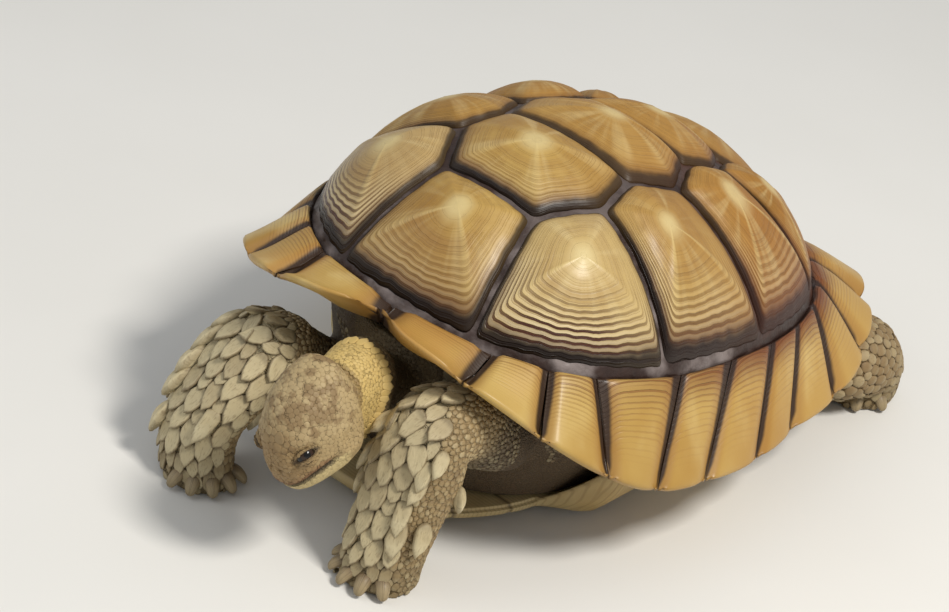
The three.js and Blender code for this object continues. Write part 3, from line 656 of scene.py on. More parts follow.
def rim_plate(name, index, side):
    def turn(seams):
        stop = seams[index + 1] if index + 1 < len(seams) else 360 - seams[index]
        return (seams[index] + (stop - seams[index]) * PLATE_ALONG) * side

    high, low = turn(UPPER_SEAMS), turn(RIM_SEAMS) % 360
    edge = np.abs(2 * PLATE_ALONG - 1)
    dish = max(0.0, 1 - index / 2.6)
    groove = -5.4 * smooth(edge, 0.58, 0.96) + 1.8 * (1 - edge ** 2)
    v = PLATE_OUT
    bulge = (1 - dish) * np.interp(v, BACK_AT, BACK_SWOLLEN) + dish * np.interp(v, BACK_AT, BACK_DISHED)
    seam = on_dome(*ring(high, SEAM_RING + 0.013), 0.0)
    rim, lip = rim_point(low, PLATE_ALONG), rim_point(low, PLATE_ALONG, LIP)
    top = seam[None] + (rim - seam)[None] * v[:, None, None]
    top[..., 2] += bulge[:, None] + groove[None, :] * smooth(v, -0.02, 0.12)[:, None]
    lip[:, 2] = rim[:, 2] - RIM_THICK
    middle = seam + (rim - seam) * 0.55
    middle[:, 2] = np.minimum(rim[:, 2] - 3, seam[:, 2] - UNDER_DROP)
    mid_lip = (rim + lip) / 2 + (rim - middle) / np.linalg.norm(rim - middle, axis=1)[:, None] * 1.2
    ix, iy = ring(high, SEAM_RING - 0.018)
    below = np.stack([ix, iy, np.minimum(rim[:, 2] + 4, seam[:, 2] - UNDER_DROP)], -1)
    inner = np.stack([ix, iy, seam[:, 2] - ROOT_THICK], -1)
    loop = np.concatenate([top, np.stack([rim, mid_lip, lip, middle, below, inner]), top[:1]])
    ends = loop.mean(0)
    rows = loop.transpose(1, 0, 2)
    start, stop = (np.broadcast_to(ends[i], rows[0].shape)[None] for i in (0, -1))
    growth = np.concatenate([1 - v, [0, 0, 0], [0.2, 0.9, 1.0, 1.0]])[None, :]
    obj = closed_grid(name + "_horn", posed(np.concatenate([start, rows, stop]), SHELL), rim_horn,
                      growth=growth, edge=np.concatenate([[1], edge, [1]])[:, None], fall=dish)
    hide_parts(name)


for index in range(11):
    rim_plate(f"marginal_left_{index + 1}", index, 1)
    rim_plate(f"marginal_right_{index + 1}", index, -1)
rim_plate("supracaudal", 11, 1)
print("23 rim plates")

# %% [markdown]
# ## One skin over all the flesh
# The flesh solids are copied, joined and turned into one even mesh, so that no seam shows
# where head, neck, legs and tail meet. It is smoothed, and at each foot it is drawn in to the
# pad where the claws will stand.
# %% Joining the flesh
FLESH = ("head", "neck", "trunk", "foreleg_left", "foreleg_right", "hindleg_left",
         "hindleg_right", "tail")
VOXEL, COAT_DEPTH, SWELL = 2.4, 1.6, 0.9
TRUNK_TOP = 34  # in the shell's frame; what lies higher is closed in by the carapace
SHIFT_MM = np.array(SHIFT) / MM


def flesh_copy(name):
    bm = bmesh.new()
    bm.from_mesh(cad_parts[name].data)
    bmesh.ops.remove_doubles(bm, verts=bm.verts, dist=1e-6)
    if name == "trunk":
        place, up = SHELL @ Vector((0, 0, TRUNK_TOP * MM)), SHELL.to_3x3() @ Vector((0, 0, 1))
        cut = bmesh.ops.bisect_plane(bm, geom=bm.verts[:] + bm.edges[:] + bm.faces[:], dist=1e-6,
                                     plane_co=place, plane_no=up, clear_outer=True)
        rim = [e for e in cut["geom_cut"] if isinstance(e, bmesh.types.BMEdge)]
        bmesh.ops.holes_fill(bm, edges=rim, sides=0)
    bmesh.ops.recalc_face_normals(bm, faces=bm.faces)
    for vert in bm.verts:
        vert.co += vert.normal * SWELL * MM
    return as_mesh(bm, name + "_copy")


def soften(obj, rounds):
    modifier = obj.modifiers.new("soften", "SMOOTH")
    modifier.factor, modifier.iterations = 0.5, rounds


def settle(obj):
    """Turns an object's modifiers into its mesh."""
    made = bpy.data.meshes.new_from_object(obj.evaluated_get(bpy.context.evaluated_depsgraph_get()))
    obj.modifiers.clear()
    obj.data = made


def read(mesh, what="co"):
    data = np.empty(len(mesh.vertices) * 3, np.float32)
    mesh.vertices.foreach_get(what, data)
    return data.reshape(-1, 3).astype(float)


def move_to(mesh, points):
    fill(mesh.vertices, "co", points)
    mesh.update()


joined = bmesh.new()
for name in (*FLESH, "eye_left", "eye_right"):  # the eyes, so that lids can lie over them
    piece = flesh_copy(name)
    joined.from_mesh(piece)
    bpy.data.meshes.remove(piece)
skin = put("skin", as_mesh(joined, "skin"))
remesh = skin.modifiers.new("even", "REMESH")
remesh.mode, remesh.voxel_size = "VOXEL", VOXEL * MM
soften(skin, 9)
settle(skin)


def way_of(heading):
    """The way over the ground at a heading in degrees; 0 is straight to the front."""
    turn = math.radians(heading)
    return math.sin(turn), -math.cos(turn)


# Each foot's middle, heading, number of claws, the pad's reach, the claws' length and spread.
FEET = {"foreleg_left": ((74, -305), -14, 5, 30, 13, 120),
        "foreleg_right": ((-112, -318), 58, 5, 28, 13, 120),
        "hindleg_left": ((165, 293), 20, 4, 41, 10, 104),
        "hindleg_right": ((-156, 244), -22, 4, 41, 10, 100)}
TOES_BELOW, TOES_REACH, TOES_BESIDE, TOES_KEPT = 24, 23, 14, 0.1
skin_points = read(skin.data)
for middle, heading, _, reach, _, spread in FEET.values():
    away = skin_points[:, :2] / MM - np.array(middle) - SHIFT_MM[:2]
    far, pad = np.hypot(away[:, 0], away[:, 1]), reach + 2
    within_spread = away @ way_of(heading) > far * math.cos(math.radians(spread / 2 + TOES_BESIDE))
    toes = (skin_points[:, 2] < TOES_BELOW * MM) & (far > pad) & (far < pad + TOES_REACH) & within_spread
    pulled = (pad + TOES_KEPT * (far - pad)) / np.maximum(far, 1e-6)
    skin_points[toes, :2] -= (away * (1 - pulled)[:, None])[toes] * MM
move_to(skin.data, skin_points)
print("skin", len(skin.data.vertices), "points")

# %% [markdown]
# ## Courses of the limbs
# Scales point along a limb to its hand. Each limb's course is the line of stations that its
# solid was lofted along, and any point on the skin finds its place on the nearest course.
# %% Courses
COURSES = {
    "foreleg_left": [(72, -132, 92), (90, -196, 100), (88, -248, 136), (84, -278, 136), (81, -289, 100),
                     (78, -297, 58), (76, -303, 26), (74, -305, 0)],
    "foreleg_right": [(-72, -132, 92), (-84, -196, 76), (-97, -241, 101), (-104, -266, 119),
                      (-115, -291, 88), (-123, -312, 52), (-120, -318, 24), (-114, -320, 0)],
    "hindleg_left": [(66, 118, 62), (104, 176, 56), (158, 243, 50), (165, 283, 38), (165, 293, 14),
                     (165, 293, 0)],
    "hindleg_right": [(-66, 118, 62), (-104, 176, 56), (-151, 194, 50), (-156, 234, 38),
                      (-156, 244, 14), (-156, 244, 0)],
    "neck": [(0, -184, 100), (2, -232, 117), (5, -266, 130), (9, -292, 141), (13, -312, 148),
             (17, -336, 154)],
    "tail": [(0, 190, 60), (2, 232, 52), (6, 268, 34), (10, 296, 20)],
}
COURSES = {name: np.array(line, float) + SHIFT_MM for name, line in COURSES.items()}
LIMB = {name: number for number, name in enumerate(COURSES)}  # forelegs 0 and 1, hind legs 2 and 3


def measured(line):
    """The lengths of a course's stretches, and how far along it each station lies."""
    lengths = np.linalg.norm(np.diff(line, axis=0), axis=1)
    return lengths, np.concatenate([[0], np.cumsum(lengths)])


def on_courses(points_mm):
    """For each point: the nearest limb, how far along it (0 to 1), its direction, the distance
    from it and the way out from it."""
    best = np.full(len(points_mm), 1e9)
    limb = np.zeros(len(points_mm), int)
    along = np.zeros(len(points_mm))
    direction, outward = np.zeros((2, len(points_mm), 3))
    for number, line in enumerate(COURSES.values()):
        lengths, before = measured(line)
        for i in range(len(line) - 1):
            a, d = line[i], (line[i + 1] - line[i]) / lengths[i]
            t = np.clip((points_mm - a) @ d, 0, lengths[i])
            away = points_mm - (a + t[:, None] * d)
            gap = np.linalg.norm(away, axis=1)
            closer = gap < best
            best[closer], limb[closer] = gap[closer], number
            along[closer] = (before[i] + t[closer]) / before[-1]
            direction[closer] = d
            outward[closer] = away[closer]
    return limb, along, direction, best, outward / np.maximum(best, 1e-6)[:, None]


# %% [markdown]
# ## The head
# The head is the part that is looked at most. Its features are placed in its own frame: the
# eyes, and the mouth's line from the beak's hook to the corner of the jaw.
# %% Places on the head
EYE_AXIS = np.array((0.759, -0.200, 0.619))  # the way the eye looks; along and across its slit
EYE_SLIT, EYE_UP = np.array((0.353, 0.927, -0.132)), np.array((-0.548, 0.319, 0.775))
SLIT_LONG, SLIT_HIGH = 9.2, 2.6
MOUTH_FRONT, MOUTH_CORNER, BEAK_HOOK, BEAK_TIP = -17.6, -14.6, 3.0, -51


def behind_nape(h):
    """How far behind the fold between head and neck points of the head's frame lie."""
    return h[:, 1] - 47 - np.where(h[:, 2] > 0, 0.28, 0.8) * h[:, 2]


def in_head(points):
    """How far points belong to the head, from 0 to 1, and where they lie in its frame."""
    h = to_frame(points, HEAD)
    near = (smooth(-behind_nape(h), 0, 8) * smooth(46 - np.abs(h[:, 0]), 0, 3)
            * smooth(h[:, 1], -64, -58) * smooth(h[:, 2], -62, -54))
    return near, h


def above_mouth(h):
    """How far points lie over the mouth's line, which dips at the beak's hook."""
    line = (MOUTH_FRONT + (MOUTH_CORNER - MOUTH_FRONT) * smooth(h[:, 1], -45, -28)
            - BEAK_HOOK * bell(h[:, 1] - BEAK_TIP, 6.0))
    return h[:, 2] - line


def eye_place(h):
    """Distance from the nearer eye's middle, places along and across its slit, how far out of
    the slit they are (1 is its edge), and the way from the middle."""
    side = np.stack([np.abs(h[:, 0]), h[:, 1], h[:, 2]], 1) - np.array(EYE)
    along = side @ EYE_SLIT
    up = side @ EYE_UP + 0.012 * along ** 2
    return np.linalg.norm(side, axis=1), along, up, np.hypot(along / SLIT_LONG, up / SLIT_HIGH), side


def refine(mesh, choose):
    """Cuts every edge in two between the points that `choose` picks."""
    fine = bmesh.new()
    fine.from_mesh(mesh)
    picked = choose(read(mesh))
    chosen = [e for e in fine.edges if picked[e.verts[0].index] and picked[e.verts[1].index]]
    bmesh.ops.subdivide_edges(fine, edges=chosen, cuts=1, use_grid_fill=True)
    bmesh.ops.triangulate(fine, faces=[f for f in fine.faces if len(f.verts) > 4])
    for face in fine.faces:
        face.smooth = True
    fine.to_mesh(mesh)
    fine.free()


def by_eye_or_mouth(points):
    near, h = in_head(points)
    at_mouth = (np.abs(above_mouth(h)) < 6) & (h[:, 1] < 4)
    eye_far, _, _, _, side = eye_place(h)
    return (near > 0.5) & ((eye_far < 15) & (side @ EYE_AXIS > -2) | at_mouth)


# %% [markdown]
# ## Sizes of the scales
# Size depends on the place: shields on the front of the forearms, grains behind them, small
# plates on the head, fine grains on the neck, and rough knobs on the hands. The skin lies
# deeper where the scales over it are larger.
# %% Sizes and lie
# The way a foreleg's front looks, and how far round it the shields reach.
FORE_FRONT = {"foreleg_left": (np.array([-0.62, -0.74, 0.25]), 0.0, 0.16),
              "foreleg_right": (np.array([-0.45, -0.85, 0.3]), -0.30, 0.05)}
# Half widths in millimetres.
PLAIN_SIZE, TAIL_SIZE, NECK_SIZE, LID_SIZE = 1.7, 2.4, 1.35, 1.1


def scale_sizes(points_m, normals):
    """Half the width of a scale at each place, in millimetres; 0 where none grows."""
    near, h = in_head(points_m)
    hx, hy, hz = h.T
    height = points_m[:, 2] / MM
    limb, along, _, gap, outward = on_courses(points_m / MM)
    size = np.full(len(height), PLAIN_SIZE)
    for name, (front, low, high) in FORE_FRONT.items():
        facing = outward @ front
        covered = smooth(facing, low, high)
        shield = covered * smooth(along, 0.34, 0.46) * smooth(height, 20, 40)
        shield = 1.8 + 5.2 * shield * (1 - 0.25 * smooth(along, 0.52, 0.36))
        knob = 2.0 + 2.4 * (smooth(40 - height, 0, 16) * smooth(facing, low - 0.4, low))
        arm = 1.8 + 1.9 * (covered * smooth(along, 0.12, 0.3))
        size = np.where(limb == LIMB[name], np.maximum(arm, np.maximum(shield, knob)), size)
    hind = (limb == LIMB["hindleg_left"]) | (limb == LIMB["hindleg_right"])
    size = np.where(hind, 2.2 + 1.6 * smooth(-normals[:, 1], -0.2, 0.6) + 1.6 * smooth(height, 12, 40)
                    + 1.0 * smooth(34 - height, 0, 20), size)
    size = np.where(limb == LIMB["tail"], TAIL_SIZE, size)
    size = np.where(limb == LIMB["neck"], NECK_SIZE, size)
    crown = smooth(hz + 0.35 * hy, 0, 14)
    on_head = (1.5 + 0.4 * crown + 2.2 * bell(hx, 6) * bell(hy + 14, 6) * crown
               + 2.4 * bell(np.abs(hx) - 5.5, 4) * bell(hy + 31, 6) * (hz > 6))
    size = np.where(near > 0.5, on_head, size)
    above = above_mouth(h)
    beak = (near > 0.3) * (hy < -6) * (above > -5.5) * (above < 6.0)
    eye_far, _, _, slit, _ = eye_place(h)
    lids = (near > 0.3) & (eye_far < 14)
    size = np.where(lids, LID_SIZE, size)
    bare = beak | (lids & (slit < 1.5)) | (height < 2.5)
    s = to_frame(points_m, SHELL)
    in_shell = (np.abs(s[:, 0]) < 120) & (s[:, 1] > -205) & (s[:, 1] < 215) & (near < 0.5)
    out_of_reach = (gap > 48) & (near < 0.5)
    return np.where(bare | in_shell | out_of_reach, 0.0, size)


def lie(points_m, normals):
    """The way the scales point at each place, and how much longer than wide they are."""
    near = in_head(points_m)[0]
    p = points_m / MM
    limb, along, flow, _, _ = on_courses(p)
    foot = smooth(26 - p[:, 2], 0, 20)[:, None]
    for name, (_, heading, *_) in FEET.items():
        here = (limb == LIMB[name]) & (near < 0.5)
        flow[here] = flow[here] * (1 - foot[here]) + np.array([*way_of(heading), -0.4]) * foot[here]
    flow[near > 0.5] = np.array(HEAD.to_3x3() @ Vector((0, 1, 0)))
    flow = flow - normals * (flow * normals).sum(1, keepdims=True)
    flow /= np.maximum(np.linalg.norm(flow, axis=1, keepdims=True), 1e-9)
    stretch = 1 + 0.32 * (limb < 2) * (near < 0.5) * smooth(along, 0.3, 0.5) * (1 - 0.5 * foot[:, 0])
    return flow, stretch


# %% [markdown]
# ## Modelling the head
# Brow, cheek, nostrils, the mouth's line under a hooked beak and the drum of the ear are moves
# along the skin's normals, each a smooth bell around its place in the head's frame.
# %% Features of the head
DEEPEST, HEAD_SWELL = 2.8, 0.7
refine(skin.data, lambda p: in_head(p)[0] > 0.5)
refine(skin.data, by_eye_or_mouth)
soften(skin, 4)
settle(skin)

points, normals = read(skin.data), read(skin.data, "normal")
near, h = in_head(points)
hx, hy, hz = h.T
side_x = np.abs(hx)
move = -np.clip(0.42 * scale_sizes(points, normals), COAT_DEPTH, DEEPEST)
brow = 2.4 * bell(side_x - 23, 9) * bell(hy + 23, 12) * bell(hz - 20, 6)
cheek = 1.8 * bell(side_x - 30, 12) * bell(hy - 12, 13) * bell(hz + 26, 12)
above = above_mouth(h)
mouth = smooth(-hy, 9, 15) * (-4.6 * bell(above + 0.8, 2.3) + 1.1 * bell(above - 4.2, 2.2)
                              - 0.3 * bell(above + 6, 4.5))
nostril = -1.9 * bell(np.hypot(side_x - 4.6, hz - 1), 1.5) * (hy < -36)
drum = np.hypot((hy - 6) / 9, (hz + 9) / 11)
ear = (side_x > 22) * (-1.1 * bell(drum, 0.62) + 0.9 * bell(drum - 1.15, 0.3))
nape_fold = -1.6 * bell(behind_nape(h) + 1, 2.4) * (near < 0.9) * (hy > 10) * (side_x < 46)
move = move + near * (brow + cheek + mouth + nostril + ear + HEAD_SWELL) + nape_fold
points = points + normals * move[:, None] * MM

# %% [markdown]
# ## Lids
# The animal looks down with its eyes half shut. Two thick lids lie on each ball: their skin is
# drawn onto a sphere a little larger than the eye, and sinks behind it within the slit.
# %% Lids
LID_OVER, LID_WITHIN = 9.6, 6.6  # distances from the eye's middle, of lids and of skin in the slit
_, h = in_head(points)
eye_far, slit_along, slit_up, slit, from_eye = eye_place(h)
outward = from_eye / np.maximum(eye_far, 1e-6)[:, None]
lid = near * smooth(14.5 - eye_far, 0, 3.5) * (from_eye @ EYE_AXIS > -2)
fold = (0.8 * bell(slit - 1.2, 0.25)
        - 1.5 * bell(np.abs(slit_up) - 6.4, 0.9) * smooth(12 - np.abs(slit_along), 0, 4))
edge = smooth(slit, 0.86, 1.04)
wanted = LID_WITHIN * (1 - edge) + (LID_OVER + fold) * edge
shift = outward * (wanted - eye_far)[:, None] * lid[:, None]
shift[:, 0] *= np.sign(h[:, 0])
move_to(skin.data, points + (shift * MM) @ np.array(HEAD.to_3x3()).T)
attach(skin, "root")
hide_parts(*FLESH)

# %% [markdown]
# ## Eyes
# Each ball is finer than its solid and carries one number, the distance from the middle of its
# gaze, from which the finish draws pupil, brown iris and dark rim.
# %% Eyes
eye_finish = f = Finish("wet_eye", "#080605", Roughness=0.22, Coat_Weight=0.25, Coat_Roughness=0.08,
                        Specular_IOR_Level=0.3)
gaze = f.attribute("gaze")
f.paint(f.mix("#22150c", "#3a2412", f.noise(420.0, 4)), f.step(gaze, 0.30, 0.36))
f.paint("#120c08", f.step(gaze, 0.62, 0.74))
f.close()
BULGE, BULGE_WIDTH = 0.05, 0.35
for side, name in ((1, "eye_left"), (-1, "eye_right")):
    ball = bmesh.new()
    bmesh.ops.create_uvsphere(ball, u_segments=40, v_segments=24, radius=EYE_RADIUS * MM)
    axis = (HEAD.to_3x3() @ Vector((side * EYE_AXIS[0], *EYE_AXIS[1:]))).normalized()
    middle = HEAD @ (Vector((side * EYE[0], *EYE[1:])) * MM)
    for vert in ball.verts:
        off_axis = (vert.co.normalized() - axis).length
        vert.co = middle + vert.co * (1 + BULGE * math.exp(-(off_axis / BULGE_WIDTH) ** 2))
    for face in ball.faces:
        face.smooth = True
    mesh = as_mesh(ball, name + "_ball")
    give_numbers(mesh, {"gaze": [((v.co - middle).normalized() - axis).length for v in mesh.vertices]})
    mesh.materials.append(eye_finish.material)
    eyeball = put(name + "_ball", mesh)
    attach(eyeball, "root")
    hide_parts(name)

# %% [markdown]
# ## What the skin's colours follow
# Skin and scales take the same markings from the same few numbers: how much of the mottled
# crown, the yellow of throat and neck, and the painted shade that darkens the legs towards the
# ground each place has. Painted shade also lies under the shell's rim and behind the neck's collar,
# round the eyes' slits, in the fold between head and neck and along the mouth's line.
# %% Markings
FLESH_GROUND = "#b9a376"
# A colour, the marking it follows and its even share; then its share that follows a field.
FLESH_COLOURS = (
    ("#b8aa86", "legs", 0.85), ("#ceb068", "yellow", 0.85), ("#a48c62", "face", 0.8),
    ("#8f7346", "back", 0.75), ("#5b4426", "back", 0, 0.5, "spots"), ("#75582f", "hind", 0.6, 0.4, "broad"),
    # 3f2f1d is painted shade under the shell's rim, on the upper forearms and on the neck behind its collar.
    # 7a6845 is painted shade that darkens the legs towards the ground.
    ("#7a6845", "hand", 0.6, 0.4, "broad"), ("#3f2f1d", "painted_shade", 0.88), ("#a8926a", "crown", 0.85),
    ("#6b4f2c", "crown", 0, 0.62, "mottle"), ("#75552b", "snout", 0.3, 0.6, "broad"),
    # 2d1e14 is painted shade round the eye's slit.
    ("#c9b682", "jaw", 0.8), ("#663818", "beak", 0.6, 0.35, "broad"), ("#2d1e14", "socket", 0.8),
    # 23140b is painted shade along the mouth's line.
    # 6d5230 is painted shade in the fold between head and neck.
    ("#6d5230", "crease", 0.75), ("#23140b", "mouth_line_shade", 0.92))


def markings(points_m):
    """How much of each marking every place has, from 0 to 1."""
    near, h = in_head(points_m)
    hx, hy, hz = h.T
    height = points_m[:, 2] / MM
    limb, along, _, gap, outward = on_courses(points_m / MM)
    off_head = 1 - near
    neck = (limb == LIMB["neck"]) * off_head
    crown = near * smooth(hz + 0.35 * hy, -4, 16)
    above = above_mouth(h)
    beak = near * smooth(-hy, 8, 22) * smooth(above, -1.6, -0.6) * smooth(8.5 - above, 0, 4)
    _, _, _, slit, from_eye = eye_place(h)
    # Painted shade where the skin lies far in under the shell's rim, and on the upper forearms.
    under_shell_shade = np.maximum(smooth(gap, 46, 56), (limb < 2) * smooth(0.46 - along, 0, 0.12)) * off_head
    return {
        "crown": crown,
        "beak": beak,
        "jaw": near * smooth(-hy, -4, 8) * smooth(-above, 1.0, 2.4),
        # Painted shade along the mouth's line, under the beak's lip.
        "mouth_line_shade": near * smooth(-hy, 10, 15) * bell(above + 2.0, 2.7),
        "yellow": np.maximum(neck, near * (0.12 + 0.6 * smooth(hy, 12, 38))),
        # Painted shade: the legs darken towards the ground.
        "hand": (limb < 4) * smooth(46 - height, 0, 34),
        # Painted shade on the neck behind its collar and under the shell's rim.
        "painted_shade": np.maximum(neck * smooth(0.775 - along, 0, 0.03), under_shell_shade),
        # Painted shade along the lids' edges round the eye's slit.
        "socket": near * bell(slit - 1.0, 0.30) * (from_eye @ EYE_AXIS > -2),
        # Painted shade in the fold between head and neck.
        "crease": bell(behind_nape(h), 3.0) * (hy > 10) * (np.abs(hx) < 46) * (gap < 50),
        "back": sum((limb == LIMB[name]) * smooth(low - outward @ front, -0.16, 0.0)
                    for name, (front, low, _) in FORE_FRONT.items()) * off_head,
        "face": near * (1 - crown),
        "snout": near * smooth(-hy, 14, 36) * (1 - beak),
        "legs": (limb < 4) * off_head,
        "hind": ((limb == 2) | (limb == 3)) * off_head,
    }


def paint_flesh(f):
    """Lays on the colours that skin and scales share."""
    broad, spots = f.noise(14.0, 3), f.noise(95.0, 3)
    fields = {"broad": broad, "spots": f.step(spots, 0.56, 0.66),
              "mottle": f.step(spots + 0.7 * (f.noise(38.0, 2) - 0.5), 0.44, 0.58)}
    f.paint("#a08a60", broad)
    for code, marking, even, *varied in FLESH_COLOURS:
        share = even + varied[0] * fields[varied[1]] if varied else even
        f.paint(code, f.attribute(marking) * share)


f = Finish("skin", FLESH_GROUND)
paint_flesh(f)
f.paint("#5a4529", 0.35 * f.noise(160.0, 3) * (1 - 0.8 * (f.attribute("face") + f.attribute("crown"))))
pebbles = f.add("TexVoronoi", {"feature": "DISTANCE_TO_EDGE"}, {"Vector": f.place(), "Scale": 330.0})
f.close(0.62 + 0.2 * f.noise(60.0, 2), f.step(pebbles, 0.0, 0.22) + 0.6 * f.noise(55.0, 3), 0.9)
skin.data.materials.clear()
skin.data.materials.append(f.material)
give_numbers(skin.data, markings(read(skin.data)))

# %% [markdown]
# ## Where the scales sit
# Scales are sown over the skin so that none is nearer than its size allows, the largest first,
# and farther apart along the limb than across it. The long spurs down the outer edge of the
# forearms and the fringe of the neck's collar are given their places first.
# %% Sowing
skin_tree = BVHTree.FromPolygons([v.co for v in skin.data.vertices],
                                 [p.vertices for p in skin.data.polygons])
skin.data.calc_loop_triangles()
triangles = np.empty(len(skin.data.loop_triangles) * 3, np.int32)
skin.data.loop_triangles.foreach_get("vertices", triangles)
triangles = triangles.reshape(-1, 3)
skin_points, skin_normals = read(skin.data), read(skin.data, "normal")
corner = skin_points[triangles]
area = np.linalg.norm(np.cross(corner[:, 1] - corner[:, 0], corner[:, 2] - corner[:, 0]), axis=1) / 2
TRIES, SOWING_SEED, CLOSENESS = 170000, 11, 0.86
# Scales over a size are kept in a grid of cells wide enough that only next cells need a look.
BANDS = ((5.0 * MM, 27.0 * MM), (3.0 * MM, 15.0 * MM), (0.0, 9.0 * MM))
NEXT_CELLS = [(dx, dy, dz) for dx in (-1, 0, 1) for dy in (-1, 0, 1) for dz in (-1, 0, 1)]


def sow(fixed):
    """Even random places over the skin, the larger scales placed first."""
    chance = np.random.default_rng(SOWING_SEED)
    pick = chance.choice(len(area), TRIES, p=area / area.sum())
    a, b = chance.random((2, TRIES))
    flip = a + b > 1
    a, b = np.where(flip, 1 - a, a), np.where(flip, 1 - b, b)
    weights = np.stack([1 - a - b, a, b], 1)
    spots = (corner[pick] * weights[:, :, None]).sum(1)
    facing = (skin_normals[triangles[pick]] * weights[:, :, None]).sum(1)
    facing /= np.linalg.norm(facing, axis=1, keepdims=True)
    sizes = scale_sizes(spots, facing) * MM
    keep = sizes > 0
    spots, facing, sizes = spots[keep], facing[keep], sizes[keep]
    uneven, even = chance.uniform(0.66, 1.14, len(sizes)), chance.uniform(0.84, 1.10, len(sizes))
    sizes = sizes * np.where(sizes > SHIELD_SIZE, uneven, even)
    order = np.argsort(-(sizes + 0.15 * MM * chance.random(len(sizes))), kind="stable") + len(fixed)
    spots, facing, sizes = (np.concatenate([[f[k] for f in fixed], found])
                            for k, found in enumerate((spots, facing, sizes)))
    ways, stretch = lie(spots, facing)
    squeeze = 1 - 1 / stretch ** 2
    grids = [{} for _ in BANDS]

    def cell_of(i, band):
        return [int(v // BANDS[band][1]) for v in spots[i]]

    def crowded(i, band):
        """Whether a scale that is already placed stands too near."""
        x, y, z = spots[i]
        fx, fy, fz = ways[i]
        r, q = sizes[i], squeeze[i]
        for k in range(band + 1):
            cx, cy, cz = cell_of(i, k)
            for dx, dy, dz in NEXT_CELLS:
                for ox, oy, oz, other in grids[k].get((cx + dx, cy + dy, cz + dz), ()):
                    ax, ay, az = x - ox, y - oy, z - oz
                    forward = ax * fx + ay * fy + az * fz
                    if ax * ax + ay * ay + az * az - q * forward * forward < (CLOSENESS * (r + other)) ** 2:
                        return True
        return False

    taken = []
    for i in [*range(len(fixed)), *order]:
        band = next(k for k, (low, _) in enumerate(BANDS) if sizes[i] > low)
        if i < len(fixed) or not crowded(i, band):
            grids[band].setdefault(tuple(cell_of(i, band)), []).append((*spots[i], sizes[i]))
            taken.append(i)
    return spots[taken], facing[taken], sizes[taken], ways[taken], stretch[taken]


def on_limb(name, along, turn):
    """The skin's place and normal beside a course, at a turn round it from the limb's front."""
    line = COURSES[name]
    lengths, before = measured(line)
    middle = np.array([np.interp(along * before[-1], before, line[:, k]) for k in range(3)])
    i = min(int(np.searchsorted(before, along * before[-1])), len(lengths)) - 1
    course = (line[i + 1] - line[i]) / lengths[i]
    front = FORE_FRONT[name][0] if name in FORE_FRONT else np.array([0.0, 0.0, 1.0])
    front = front - course * (front @ course)
    front /= np.linalg.norm(front)
    aside = np.cross(course, front)
    way = front * math.cos(math.radians(turn)) + aside * math.sin(math.radians(turn))
    place, normal, _, _ = skin_tree.ray_cast(Vector(middle * MM), Vector(way))
    return np.array(place), np.array(normal) * (1 if np.dot(normal, way) > 0 else -1)


# How far along the limb, turn from its front, half width in millimetres.
SPURS = {"foreleg_left": ((0.56, -92, 6.6), (0.605, -84, 6.6), (0.66, -84, 6.6), (0.73, -74, 7.4),
                          (0.80, -80, 8.2), (0.785, -112, 7.6), (0.56, 30, 6.8), (0.64, 27, 7.2),
                          (0.72, 26, 7.2), (0.66, -148, 5.6)),
         "foreleg_right": ((0.46, 52, 7.0), (0.54, 48, 7.4), (0.61, 44, 7.6), (0.68, 42, 7.8),
                           (0.75, 38, 7.6), (0.82, 33, 7.0), (0.78, -66, 7.6))}
SPURS = [(name, *spur) for name, spurs in SPURS.items() for spur in spurs]
FRINGE_AT, FRINGE_EVERY = 0.79, 9
FRINGE = [("neck", FRINGE_AT, turn, 2.3 + 1.5 * abs(math.sin(turn * 1.7)))
          for turn in range(-150, 151, FRINGE_EVERY)]
# Half widths over which scales are shields, and middling; the others are grains.
SHIELD_SIZE, MIDDLING_SIZE = 4.3 * MM, 2.6 * MM
fixed = [(*on_limb(name, along, turn), width * MM) for name, along, turn, width in SPURS + FRINGE]
roots, root_normals, root_sizes, flow, stretch = sow(fixed)
kind = np.zeros(len(roots), int)
SPUR, COLLAR = 1, 2
kind[:len(SPURS)], kind[len(SPURS):len(fixed)] = SPUR, COLLAR
flow[kind == COLLAR] *= -1
print(len(roots), "scales sown")

# %% [markdown]
# ## The shape of a scale
# A scale reaches as far as its neighbours let it, so each one takes the outline that the space
# between them leaves. On top of that outline it is drawn out and lifted towards its tip, over
# the next scale's root, as on the living animal. Large scales at the sole are kept short.
# %% Room for each scale
SPOKES, NEAREST, WIDEST, SPUR_LEAST, SOLE_SHARE = 12, 15, 1.35, 0.9, 0.62
twist = np.random.default_rng(9).normal(0, 0.11, len(roots))[:, None]
flow = flow * np.cos(twist) + np.cross(root_normals, flow) * np.sin(twist)
across = np.cross(root_normals, flow)
root_near = in_head(roots)[0]
root_limb = on_courses(roots / MM)[0]

neighbours = KDTree(len(roots))
for i, place in enumerate(roots):
    neighbours.insert(place, i)
neighbours.balance()
near_index = np.array([[hit[1] for hit in neighbours.find_n(place, NEAREST)] for place in roots])[:, 1:]
offset = roots[near_index] - roots[:, None]
forward = np.einsum("nkc,nc->nk", offset, flow) / stretch[:, None]
sideways = np.einsum("nkc,nc->nk", offset, across)
share = root_sizes[:, None] / (root_sizes[:, None] + root_sizes[near_index])
spoke = np.arange(SPOKES) / SPOKES * 2 * math.pi
cosine = np.cos(spoke)[None, None] * forward[..., None] + np.sin(spoke)[None, None] * sideways[..., None]
distance = (forward ** 2 + sideways ** 2)[..., None] * share[..., None] / np.maximum(cosine, 1e-7)
room = np.where(cosine > 1e-6, distance, 1e9).min(1)
room = np.minimum(room, root_sizes[:, None] * WIDEST)
room = (2 * room + 0.5 * (np.roll(room, 1, 1) + np.roll(room, -1, 1))) / 3
